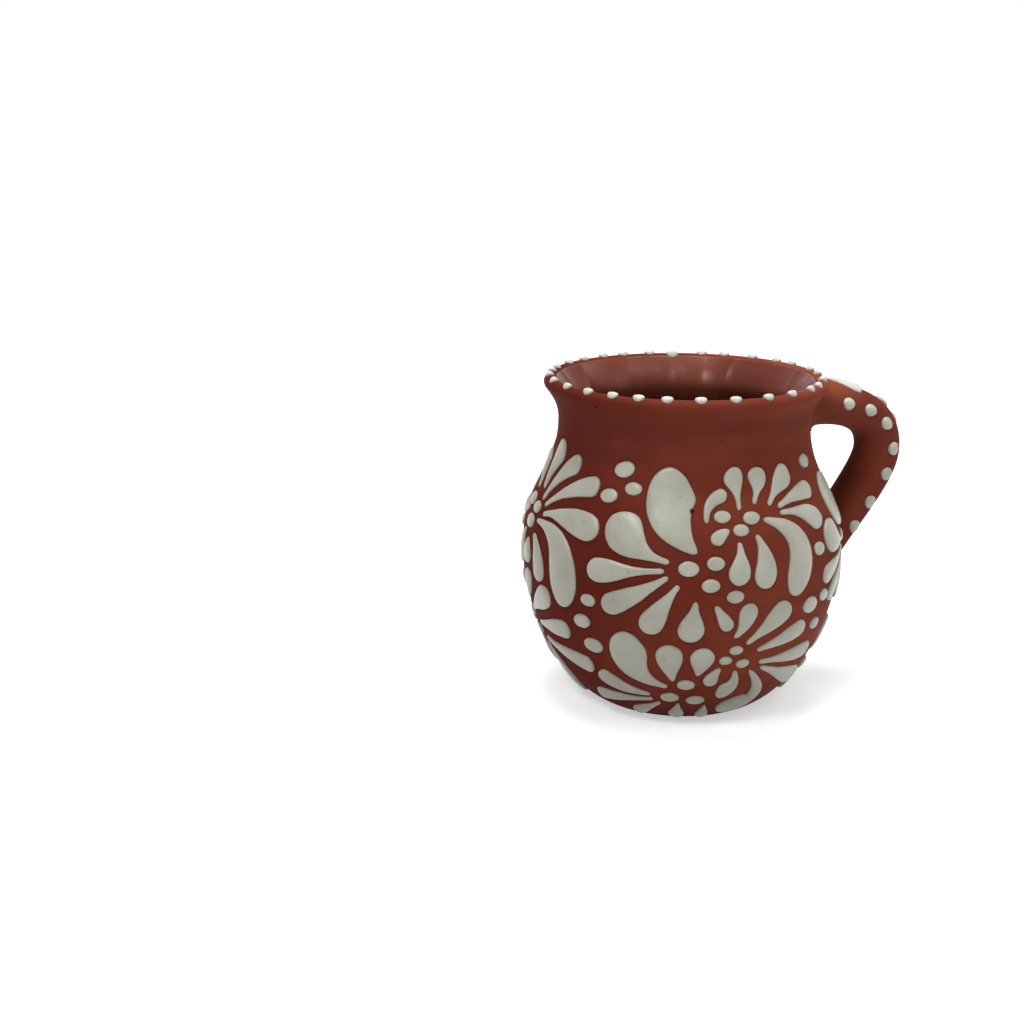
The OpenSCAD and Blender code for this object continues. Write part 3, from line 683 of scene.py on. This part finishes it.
glaze_material, b, shader, place = new_material("red_brown_glaze")
_, _, z = b.parts(place)
clouds = group(b, cloud_book, place, scale=45.0, Contrast=1.0)
specks = group(b, speck_book, place, scale=420.0, Size=0.2)
deep_shade = b.share((DEEP_SHADE_Z - z) / DEEP_SHADE_REACH)
b.feed(shader, "Base Color", washed(b, srgb(*DULL_GLAZE), [
    (BRIGHT_GLAZE, clouds), (DEEP_SHADE_GLAZE, deep_shade * 0.62), (SPECK_GLAZE, specks * 0.6)]))
b.feed(shader, "Roughness", 0.3)
b.feed(shader, "Specular IOR Level", 0.3 - deep_shade * 0.18)
b.feed(shader, "Specular Tint", WARM_SHINE)
grain = group(b, grain_book, place, scale=120.0, Streaks=0.7)
flutes = group(b, flute_book, place, scale=2.0)
bump(b, shader, flutes + grain * 0.04, 0.7, 4.5 * MM)

# Colours of the slip; it is greyer where it lies thin. It is darker low on the belly and on the
# left side, painted shade, and paler near the top, painted light
PALE_SLIP, GREY_SLIP = (180, 180, 167), (153, 152, 137)
LOW_SHADE_SLIP, LEFT_SHADE_SLIP, TOP_LIGHT_SLIP = (100, 96, 84), (122, 116, 103), (214, 213, 205)
THIN_SLIP, PIT_SLIP, HOLE_SHADE_SLIP = (134, 118, 108), (110, 98, 88), (30, 16, 13)
LOW_SHADE_Z, LOW_SHADE_REACH = 60 * MM, 50 * MM
LEFT_SHADE_SLIP_FROM, LEFT_SHADE_SLIP_REACH = 24 * MM, 14 * MM
TOP_LIGHT_Z, TOP_LIGHT_REACH = 78 * MM, 8 * MM

slip_material, b, shader, place = new_material("white_slip")
x, _, z = b.parts(place)
rise = b.out(b.add("ShaderNodeAttribute", attribute_name="rise"), "Fac")
clouds = group(b, cloud_book, place, scale=90.0, Contrast=1.05)
pits = group(b, speck_book, place, scale=260.0, Size=0.16)
hole = pinholes(b, place)
b.feed(shader, "Base Color", washed(b, srgb(*PALE_SLIP), [
    (GREY_SLIP, clouds),
    # Painted shade, darker low on the belly
    (LOW_SHADE_SLIP, b.share((LOW_SHADE_Z - z) / LOW_SHADE_REACH) * 0.44),
    # Painted shade, darker on the left side
    (LEFT_SHADE_SLIP, b.share((-x - LEFT_SHADE_SLIP_FROM) / LEFT_SHADE_SLIP_REACH) * 0.3),
    # Painted light, paler near the top
    (TOP_LIGHT_SLIP, b.share((z - TOP_LIGHT_Z) / TOP_LIGHT_REACH) * 0.6),
    (THIN_SLIP, b.at_least(1.0 - rise * 1.6, 0.0) * 0.8),
    (PIT_SLIP, pits * 0.5),
    # Painted shade in the pinholes
    (HOLE_SHADE_SLIP, hole)]))
b.feed(shader, "Roughness", 0.28 + clouds * 0.08)
b.feed(shader, "Specular IOR Level", 0.5)
soft = group(b, grain_book, place, scale=80.0, Streaks=0.05)
bump(b, shader, soft - pits * 1.2 - hole * 1.5, 0.25, 0.4 * MM)

# The pot and its glaze
POT_WANDER = 0.5 * MM
GLAZE_RIPPLE = 0.5 * MM


def throw(name, profile, material, node, ripple=0.0):
    """A piece turned from a profile of radius and height."""
    points = [(r, 0.0, z) for r, z in profile]
    piece = new_piece(name, points, [(k, k + 1) for k in range(len(points) - 1)])
    grow(piece, pot_book, {"Profile Points": len(points), "Stations Round": STATIONS_ROUND,
                           "Out of Round": POT_WANDER, "Ripple": ripple, "Material": material})
    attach(piece, "root")
    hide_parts(node)
    return piece


clay_face = inner_wall(0)
pot = throw("thrown_pot", np.concatenate([[(0, 0), (FOOT_R * 0.5, 0)], OUTER, LIP_ARC, clay_face]),
            clay_material, "body")
throw("glaze_coat", np.concatenate([clay_face[::-1], inner_wall(GLAZE_T)]),
      glaze_material, "glaze_lining", ripple=GLAZE_RIPPLE)

# The handle: two curves along its middle, each given by its ends and what pulls it
GRIP_R = HANDLE_REACH - HANDLE_T / 2
TOP_ROOT = (NECK_R * 0.65, HANDLE_TOP_Z)
LOW_ROOT = (BELLY_R * 0.83, HANDLE_LOW_Z * 0.71)


def between(a, c, share):
    """What lies between two values, by a share."""
    return a * (1 - share) + c * share


HANDLE_UPPER = [TOP_ROOT, (between(TOP_ROOT[0], GRIP_R, 0.62), HANDLE_TOP_Z),
                (GRIP_R, between(HANDLE_BOW_Z, HANDLE_TOP_Z, 0.85)), (GRIP_R, HANDLE_BOW_Z)]
HANDLE_LOWER = [(GRIP_R, HANDLE_BOW_Z), (GRIP_R, between(HANDLE_BOW_Z, LOW_ROOT[1], 0.2)),
                (between(LOW_ROOT[0], GRIP_R, 0.47), between(LOW_ROOT[1], HANDLE_BOW_Z, 0.48)),
                LOW_ROOT]
FILLET_R = 3.2 * MM
ROOT_HOLLOW_R = HANDLE_TOP_T * 0.55
HANDLE_CROWN_Z = MUG_H - 1.6 * MM
# How the handle spreads at its roots, how far along each spread fades, and where it is full
ROOT_SWELL = 0.55
LOW_THIN, LOW_WIDE = 0.45, 0.35
UPPER_FADE, LOWER_FADE, FULL_FROM = 0.3, 0.35, 0.8
SINK = 0.5 * MM
HALVINGS = 12
FILLET_TOP_Z = NECK_Z + NECK_DROP * 0.9


def handle_line(t):
    """Centre and direction of the handle at t, from 0 at its upper root to 2 at the lower."""
    curve, share = (HANDLE_UPPER, t) if t < 1 else (HANDLE_LOWER, t - 1)
    return cubic(curve, share)[0], cubic_way(curve, share)[0]


def handle_halves(t):
    """Half the thickness and half the width of the handle at t."""
    top = ROOT_SWELL * math.exp(-(t / UPPER_FADE) ** 2)
    low = math.exp(-((2 - t) / LOWER_FADE) ** 2)
    thick = between(HANDLE_TOP_T, HANDLE_T, min(1, t / FULL_FROM))
    half_t = thick / 2 * (1 + top - LOW_THIN * low)
    return half_t, HANDLE_W / 2 * (1 + top + LOW_WIDE * low)


def root_hollow(t):
    """How much the handle thickens downwards in the hollow under its upper root."""
    near = min(max(1 - (handle_line(t)[0][0] - NECK_R) / ROOT_HOLLOW_R, 0), 1)
    return ROOT_HOLLOW_R * (1 - math.sqrt(1 - near * near)) if t < 1 else 0


def handle_place(t, turn):
    """A point on the handle's skin and the direction off it."""
    centre, way = handle_line(t)
    half_t, half_w = handle_halves(t)
    if math.cos(turn) < 0:
        half_t += root_hollow(t)
    out = np.array([-way[1], 0, way[0]])
    point = (np.array([centre[0], 0, centre[1]]) + out * half_t * math.cos(turn)
             + np.array([0, 1, 0]) * half_w * math.sin(turn))
    off = out * math.cos(turn) / half_t + np.array([0, 1, 0]) * math.sin(turn) / half_w
    return point, off / np.linalg.norm(off), np.array([way[0], 0, way[1]])


# Points round the handle, and the stations along it, closest at its roots
SIDES = 48
STATIONS = np.concatenate([np.linspace(0.12, 0.5, 70), np.linspace(0.5, 1.55, 60)[1:],
                           np.linspace(1.55, 1.97, 50)[1:]])
RINGS = len(STATIONS)


def fillet_at(point):
    """How far a point so near to the wall stands out in the fillet round the root."""
    gap = math.hypot(point[0], point[1]) - wall_radius(min(point[2], FILLET_TOP_Z))
    reach = FILLET_R - min(max(gap, 0), FILLET_R)
    return FILLET_R - math.sqrt(max(FILLET_R ** 2 - reach ** 2, 0))


def spread(point, off):
    """A point of the skin moved out on to the fillet, and kept within the wall of the pot."""
    low, high = 0, FILLET_R
    if fillet_at(point) > 0:
        for _ in range(HALVINGS):
            middle = (low + high) / 2
            if fillet_at(point + off * middle) > middle:
                low = middle
            else:
                high = middle
    point = point + off * low
    point[2] = min(point[2], HANDLE_CROWN_Z)
    least = wall_radius(min(max(point[2], 0), LIP_RING_Z)) - SINK
    if math.hypot(point[0], point[1]) < least:
        point[0] = math.sqrt(least ** 2 - point[1] ** 2)
    return point


skin = []
for t in STATIONS:
    for k in range(SIDES):
        point, off, _ = handle_place(t, 2 * math.pi * k / SIDES)
        skin.append(spread(point, off * (1 - abs(off[2]) if t < 1 else 1)))
faces = [(i * SIDES + k, i * SIDES + (k + 1) % SIDES, (i + 1) * SIDES + (k + 1) % SIDES,
          (i + 1) * SIDES + k) for i in range(RINGS - 1) for k in range(SIDES)]
faces += [tuple(range(SIDES)), tuple(range((RINGS - 1) * SIDES, RINGS * SIDES))[::-1]]
handle = new_piece("pulled_handle", skin, faces=faces)
shape = bmesh.new()
shape.from_mesh(handle.data)
bmesh.ops.recalc_face_normals(shape, faces=shape.faces)
shape.to_mesh(handle.data)
shape.free()
handle.data.polygons.foreach_set("use_smooth", [True] * len(handle.data.polygons))
handle.data.materials.append(clay_material)
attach(handle, "root")
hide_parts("handle")

# Slip flowers and dots on the wall
# A petal: tip, end of the head, width and bow as shares of the flower's reach, its swell, and
# where along it the bow pulls
UPPER_LEFT_PETALS = [
    (0.075, 0.2, -0.17, 1.235, 0.74, 0.24, 0.55, 0.57),
    (-0.275, 0.08, -1.07, 0.64, 0.555, 0.12, 1.55),
    (-0.335, -0.03, -1.38, -0.14, 0.33, 0, 1.8),
    (-0.285, -0.11, -1.15, -0.61, 0.305, 0.02, 0.9),
    (-0.15, -0.21, -0.57, -0.885, 0.33, -0.01, 1.2),
    (0.075, -0.43, 0.01, -0.995, 0.355, 0, 1.2),
    (0.325, -0.49, 0.545, -0.83, 0.19, 0, 1)]
UPPER_LEFT_DOTS = [(-0.03, 0.005, 1.12), (0.315, 0.07, 1), (0.255, -0.215, 1)]
UPPER_RIGHT_PETALS = [
    (-0.645, -0.03, -0.315, 0.335, 0.19, 0.115, 0.8),
    (-0.33, -0.13, -0.56, -0.295, 0.185, -0.025, 0.6),
    (-0.155, 0.12, -0.225, 0.67, 0.325, -0.03, 2.4),
    (0.09, 0.185, 0.235, 0.655, 0.335, -0.035, 2.2),
    (0.34, 0.14, 0.87, 0.555, 0.325, 0.035, 1.5),
    (0.50, 0.10, 1.345, 0.225, 0.25, 0.045, 1),
    (0.51, 0.02, 1.33, -0.25, 0.315, 0.085, 1.6),
    (0.20, -0.03, 0.60, -1.08, 0.44, 0.35, 0.6, 0.42),
    (0.045, -0.21, 0.11, -0.905, 0.325, 0.07, 0.9),
    (-0.21, -0.285, -0.255, -0.83, 0.295, 0.025, 1.3)]
UPPER_RIGHT_DOTS = [(-0.415, 0.05, 0.93), (-0.165, -0.135, 0.9), (0.015, 0.01, 0.98)]
LOWER_LEFT_PETALS = [
    (-0.09, 0.065, -0.635, 0.93, 0.56, 0.24, 1.0),
    (-0.38, -0.12, -1.22, 0.155, 0.28, 0.06, 0.9),
    (-0.35, -0.22, -1.48, -0.34, 0.25, 0.01, 1.2),
    (-0.23, -0.305, -0.80, -0.655, 0.25, 0, 1),
    (0.085, -0.30, 0.05, -0.72, 0.325, 0, 1),
    (0.575, -0.36, 0.585, -0.72, 0.275, 0, 1),
    (-0.005, 0.19, -0.075, 0.795, 0.385, 0.015, 0.8),
    (0.345, 0.295, 0.42, 0.755, 0.345, 0, 0.8)]
LOWER_LEFT_DOTS = [(0.19, 0.12, 1), (-0.06, -0.155, 1.05), (0.375, -0.21, 1.05)]
LOWER_RIGHT_PETALS = [
    (-0.105, 0.38, 0.055, 0.86, 0.26, -0.055, 1),
    (0.085, 0.27, 0.695, 0.765, 0.325, 0, 1.1),
    (0.275, 0.145, 1.09, 0.375, 0.275, 0, 0.9),
    (0.36, -0.06, 1.45, -0.09, 0.285, 0, 1),
    (0.425, -0.155, 1.575, -0.62, 0.325, -0.02, 0.9),
    (0.24, -0.185, -0.09, -0.95, 0.44, 0.52, 0.7),
    (-0.01, -0.155, -0.215, -0.60, 0.30, 0.13, 0.9),
    (-0.24, -0.095, -0.38, -0.405, 0.23, -0.02, 0.8)]
LOWER_RIGHT_DOTS = [(-0.05, 0.185, 0.78), (-0.18, 0.03, 0.75), (0.09, -0.045, 0.8)]
SIDE_PETALS = [
    (-0.10, 0.35, 0.15, 1.02, 0.36, 0.12, 0.7),
    (0.035, 0.215, 0.72, 0.875, 0.28, 0.12, 0.8),
    (0.175, 0.165, 1.22, 0.63, 0.28, 0.09, 1),
    (0.225, 0.05, 1.40, 0.04, 0.37, 0.085, 1.3, 0.35),
    (0.10, -0.065, 0.83, -1.07, 0.52, 0.40, 0.9, 0.38),
    (0.10, -0.25, 0.275, -0.86, 0.30, 0.095, 0.8),
    (-0.09, -0.35, -0.125, -0.71, 0.28, 0, 0.9),
    (-0.30, -0.27, -0.47, -0.80, 0.28, -0.02, 1),
    (-0.42, 0, -0.92, -0.05, 0.28, 0.02, 1.2),
    (-0.38, 0.30, -0.72, 0.80, 0.32, -0.03, 1.4)]
SIDE_DOTS = [(-0.05, 0.09, 0.95), (-0.14, -0.125, 1.1), (-0.375, 0.14, 1.05)]
KINDS = [(UPPER_LEFT_PETALS, UPPER_LEFT_DOTS), (UPPER_RIGHT_PETALS, UPPER_RIGHT_DOTS),
         (LOWER_LEFT_PETALS, LOWER_LEFT_DOTS), (LOWER_RIGHT_PETALS, LOWER_RIGHT_DOTS),
         (SIDE_PETALS, SIDE_DOTS)]
# A flower: CAD node, kind, way round in degrees, height as a share of the wall, turn, size,
# and the petals and dots left out
BLOOMS = [
    ("front_upper_left_flower", 0, -108.6, 0.574, 0, 1, (), ()),
    ("front_upper_right_flower", 1, -86.3, 0.699, 0, 1, (), ()),
    ("front_lower_left_flower", 2, -113.4, 0.193, 0, 1, (), ()),
    ("front_lower_right_flower", 3, -89.6, 0.298, 0, 1, (), ()),
    ("left_upper_left_flower", 0, 149, 0.562, -4, 1, (), ()),
    ("left_upper_right_flower", 4, 181, 0.637, 0, 1, (), ()),
    ("left_lower_left_flower", 2, 146, 0.183, 0, 1, (), ()),
    ("left_lower_right_flower", 3, 174.2, 0.295, -7, 1.03, (4,), ()),
    ("back_upper_left_flower", 0, 50, 0.56, 3, 0.96, (), ()),
    ("back_upper_right_flower", 1, 78, 0.69, -2, 0.98, (), ()),
    ("back_lower_left_flower", 2, 46, 0.19, 0, 0.96, (), ()),
    ("back_lower_right_flower", 3, 70.2, 0.29, 3.6, 1, (), ()),
    ("right_upper_left_flower", 0, -24, 0.56, 10, 0.84, (5, 6), (1,)),
    ("right_lower_left_flower", 2, -16, 0.19, 4, 0.8, (), ())]
# Loose dots: way round in degrees, height as a share of the wall, size and tilt in degrees
SCATTER_DOTS = [
    (-136.9, 0.823, 1.2, 12), (-131.8, 0.775, 0.98, 0), (-141.7, 0.748, 1.06, 4),
    (-144.6, 0.458, 0.96, 0), (-148.1, 0.391, 1.14, 8), (-144.5, 0.320, 1.26, 0),
    (-93.4, 0.497, 0.96, 0), (-60.2, 0.432, 1.30, -8), (-51.3, 0.444, 1.0, -14),
    (-53.9, 0.364, 1.0, -12), (-56.2, 0.584, 1.0, -8), (-49, 0.820, 1.08, -10),
    (121.5, 0.822, 1.25, 8), (127, 0.775, 1.0, 0), (117, 0.752, 1.1, 4),
    (112, 0.455, 1.0, 4), (108, 0.385, 1.2, 8), (112.5, 0.318, 1.2, 0),
    (166.5, 0.426, 0.96, 0), (20, 0.815, 1.2, 8), (25.5, 0.772, 1.0, 0),
    (15.5, 0.735, 1.05, 4), (18, 0.375, 1.1, 6),
    (66.5, 0.485, 0.96, 0)]

WALL_SQUARENESS = 2.7
WALL_WOBBLE = 0.4 * MM
wall_line = new_piece("wall_line", [(r, 0.0, z) for r, z in OUTER],
                      [(k, k + 1) for k in range(len(OUTER) - 1)])


def turned(x, y, degrees):
    """A place on the flat pattern, turned about the origin."""
    c, s = math.cos(math.radians(degrees)), math.sin(math.radians(degrees))
    return np.array([x * c - y * s, x * s + y * c])


def wall_flat(height):
    """How much shorter a circle of the pot is there than round the belly."""
    return np.interp(height, WALL_LENGTHS, OUTER[:, 0]) / BELLY_R


# How long a petal's round tip is in widths, and the most of a petal that each end may take
TIP_ROUND, TIP_MOST, HEAD_MOST = 0.7, 0.4, 0.5


def petal_row(tip, head, tip_width, width, bow, swell, bend_share=0.5):
    """What a petal's point has to know, given on the flat pattern."""
    length = np.linalg.norm(head - tip)
    return {"tip": (*tip, 0), "head": (*head, 0), "bow": bow, "width": width,
            "tip_width": tip_width, "swell": swell, "bend_share": bend_share,
            "tip_share": min(TIP_MOST, tip_width * TIP_ROUND / length),
            "head_share": min(HEAD_MOST, width / 2 * wall_flat(head[1]) / length)}


def dot_row(centre, size, tilt):
    """A dot as a short stroke with two round ends, along the wall."""
    half = turned(DOT_L * size / 2, 0, tilt) / (wall_flat(centre[1]), 1)
    return {"tip": (*(centre - half), 0), "head": (*(centre + half), 0), "bow": 0.0,
            "width": DOT_W * size, "tip_width": DOT_W * size, "swell": 1.0,
            "bend_share": 0.5, "tip_share": 0.5, "head_share": 0.5}


def plan(name, rows):
    """A mesh of one point for each stroke, with the row's values as its attributes."""
    piece = new_piece(name, [(0, 0, 0)] * len(rows))
    for key, value in rows[0].items():
        vector = isinstance(value, tuple)
        store = piece.data.attributes.new(key, "FLOAT_VECTOR" if vector else "FLOAT", "POINT")
        values = np.array([row[key] for row in rows], np.float32).ravel()
        store.data.foreach_set("vector" if vector else "value", values)
    return piece


def trail_on_wall(name, node, rows):
    """A piece of strokes that follow the wall."""
    piece = plan(name, rows)
    grow(piece, wall_book, {"Points Round": POINTS_ROUND, "Rings Along": WALL_RINGS,
                            "Height": SLIP_T, "Full Width": SLIP_FULL_W,
                            "Squareness": WALL_SQUARENESS, "Sunk": SUNK, "Wobble": WALL_WOBBLE,
                            "Material": slip_material, "Wall Line": wall_line,
                            "Belly Radius": BELLY_R})
    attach(piece, "root")
    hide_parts(node)
    return piece


for node, kind, turn, height, tilt, size, no_petals, no_dots in BLOOMS:
    petals, dots = KINDS[kind]
    hub = np.array([math.radians(turn) * BELLY_R, height * WALL_LEN])
    span = np.array([BLOOM_W, BLOOM_H]) * size
    reach = BLOOM_REACH * size
    rows = [petal_row(hub + span * turned(q[0], q[1], tilt), hub + span * turned(q[2], q[3], tilt),
                      PETAL_TIP_W * size, q[4] * reach, q[5] * reach, *q[6:])
            for k, q in enumerate(petals) if k not in no_petals]
    rows += [dot_row(hub + span * turned(q[0], q[1], tilt), q[2] * size, 0)
             for k, q in enumerate(dots) if k not in no_dots]
    trail_on_wall(node.replace("_flower", "_petals"), node, rows)

trail_on_wall("loose_dots", "scatter_dots",
              [dot_row(np.array([math.radians(a) * BELLY_R, h * WALL_LEN]), size, tilt)
               for a, h, size, tilt in SCATTER_DOTS])

# Dots on the lip and the handle
RIM_DOT_H, RIM_SQUARENESS = 1.15 * MM, 2.0
HANDLE_DOT_H, HANDLE_SQUARENESS = 1 * MM, 2.3
CLAY_WOBBLE = 0.3 * MM
LONG_TIP, LONG_HEAD = 0.1, 0.14


def seated_row(seat, off, way, length, width, tip_width=None):
    """A stroke that is dropped on the clay at a seat, along way."""
    round_ends = tip_width is None
    return {"seat": tuple(seat), "off": tuple(off), "way": tuple(way), "long": length,
            "width": width, "tip_width": width if round_ends else tip_width, "swell": 1.0,
            "tip_share": 0.5 if round_ends else LONG_TIP,
            "head_share": 0.5 if round_ends else LONG_HEAD}


def drop_on_clay(name, node, clay, rows, height, squareness):
    """A piece of strokes that are dropped on a piece of clay."""
    piece = plan(name, rows)
    grow(piece, clay_book, {"Points Round": POINTS_ROUND, "Rings Along": CLAY_RINGS,
                            "Height": height, "Full Width": HANDLE_DOT_D,
                            "Squareness": squareness, "Sunk": SUNK, "Wobble": CLAY_WOBBLE,
                            "Material": slip_material, "Clay": clay, "Reach": DROP_REACH})
    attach(piece, "root")
    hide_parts(node)
    return piece


# How far each dot is out of its even place round the lip, as a share of the spacing
RIM_DOT_SHIFTS = (0, -0.21, -0.145, -0.02, -0.18, -0.08, -0.24, -0.19, -0.34, -0.37, -0.45,
                  -0.41, -0.77, -0.89, -0.76, -0.56, -0.44, -0.435, -0.52, -0.60, -0.56, -0.44,
                  -0.27, -0.24, -0.10, -0.36, -0.23, -0.02, -0.22)
FIRST_DOT = 0.035
DROOPING_DOT = 5
DOT_SHAPE = (1, math.radians(82))
DROOP_SHAPE = (1.2, math.radians(112))
rows = []
for k, shift in enumerate(RIM_DOT_SHIFTS):
    size, lean = DROOP_SHAPE if k == DROOPING_DOT else DOT_SHAPE
    place = 2 * math.pi * (FIRST_DOT + (k + shift) / len(RIM_DOT_SHIFTS))
    ring = np.array([math.cos(place), math.sin(place), 0])
    off = ring * math.cos(lean) + np.array([0, 0, math.sin(lean)])
    seat = ring * LIP_RING_R + np.array([0, 0, LIP_RING_Z]) + off * LIP_R
    rows.append(seated_row(seat, off, (-ring[1], ring[0], 0.0), RIM_DOT_L * size,
                           RIM_DOT_W * size ** 2))
drop_on_clay("lip_dots", "rim_dots", pot, rows, RIM_DOT_H, RIM_SQUARENESS)

# Places along the handle, from 0 at its upper root to 2 at the lower
SIDE_PLACES = (0.4, 0.575, 0.76, 0.98, 1.22, 1.45, 1.62)
SPINE_PLACES = (0.71, 0.84, 0.97, 1.1, 1.23, 1.36, 1.49, 1.62)
SIDE_TURN = 78
SIDE_DOT_L, SIDE_DOT_W = HANDLE_DOT_D * 1.08, HANDLE_DOT_D * 1.02
SPINE_DOT_L = HANDLE_DOT_D * 1.25
STROKE_W = HANDLE_DOT_D * 2.8
for name, node, turn in (("near_side_dots", "handle_near_dots", -SIDE_TURN),
                         ("far_side_dots", "handle_far_dots", SIDE_TURN)):
    rows = [seated_row(*handle_place(t, math.radians(turn)), SIDE_DOT_L, SIDE_DOT_W)
            for t in SIDE_PLACES]
    drop_on_clay(name, node, handle, rows, HANDLE_DOT_H, HANDLE_SQUARENESS)
STROKE_ENDS = (0.29, 0.52)
start, end = (handle_place(t, 0)[0] for t in STROKE_ENDS)
stroke_off = handle_place(sum(STROKE_ENDS) / 2, 0)[1]
stroke_l = float(np.linalg.norm(end - start))
rows = [seated_row((start + end) / 2, stroke_off, (end - start) / stroke_l, stroke_l, STROKE_W,
                   PETAL_TIP_W)]
rows += [seated_row(*handle_place(t, 0), SPINE_DOT_L, HANDLE_DOT_D) for t in SPINE_PLACES]
drop_on_clay("spine_dots", "handle_spine_dots", handle, rows, HANDLE_DOT_H, HANDLE_SQUARENESS)

bpy.data.objects.remove(wall_line)

# Floor, light and background
# The floor looks white to the camera; what the lamps add to it keeps the mug's shadow
FLOOR_WHITE = 0.5
FAR_WHITE = 0.86
FAR_REACH, FAR_START = 1.6, 0.3
FLOOR_HALF = 4
WHITE = (1.0, 1.0, 1.0, 1.0)
FLOOR_GREY = (0.8, 0.8, 0.8, 1.0)
WORLD_LIGHT = 0.2


def seen_rays(b):
    """1 for the rays that show a surface: straight to the camera, mirrored or through glass."""
    path = b.add("ShaderNodeLightPath")
    seen = b.at_least(b.out(path, "Is Camera Ray"), b.out(path, "Is Glossy Ray"))
    return b.at_least(seen, b.out(path, "Is Transmission Ray"))


floor_material, b, shader, place = new_material("pale_floor")
seen = seen_rays(b)
b.feed(shader, "Base Color", FLOOR_GREY)
b.feed(shader, "Roughness", 1.0)
b.feed(shader, "Specular IOR Level", 0.0)
b.feed(shader, "Emission Color", WHITE)
far = b.share(b.length(place) / FAR_REACH - FAR_START)
b.feed(shader, "Emission Strength", seen * (FLOOR_WHITE + far * (FAR_WHITE - FLOOR_WHITE)))
floor = new_piece("floor", [(x * FLOOR_HALF, y * FLOOR_HALF, 0) for x, y in
                            ((-1, -1), (1, -1), (1, 1), (-1, 1))], faces=[(0, 1, 2, 3)])
floor.data.materials.append(floor_material)

world = bpy.data.worlds.new("studio")
bpy.context.scene.world = world
world.use_nodes = True
b = Book(world.node_tree)
background = next(n for n in b.nodes if n.type == "BACKGROUND")
b.feed(background, "Color", WHITE)
b.feed(background, "Strength", b.at_least(seen_rays(b), WORLD_LIGHT))

# Soft rectangular lamps, aimed at the mug: name, place, size and power
MUG_MIDDLE = Vector((0, 0, 0.05))
LAMPS = (("window_left", (-0.62, -0.5, 0.9), (0.34, 0.3), 5.0),
         ("overhead", (0.0, 0.1, 1.1), (0.7, 0.5), 10.5),
         ("front_top", (0.3, -0.62, 1.0), (0.8, 0.4), 2.6),
         ("window_right", (0.9, -0.5, 0.6), (0.5, 0.5), 1.0))
for name, place, size, power in LAMPS:
    data = bpy.data.lights.new(name, "AREA")
    data.shape = "RECTANGLE"
    data.size, data.size_y = size
    data.energy = power
    light = bpy.data.objects.new(name, data)
    bpy.context.scene.collection.objects.link(light)
    light.location = place
    light.rotation_euler = (MUG_MIDDLE - Vector(place)).to_track_quat("-Z", "Y").to_euler()
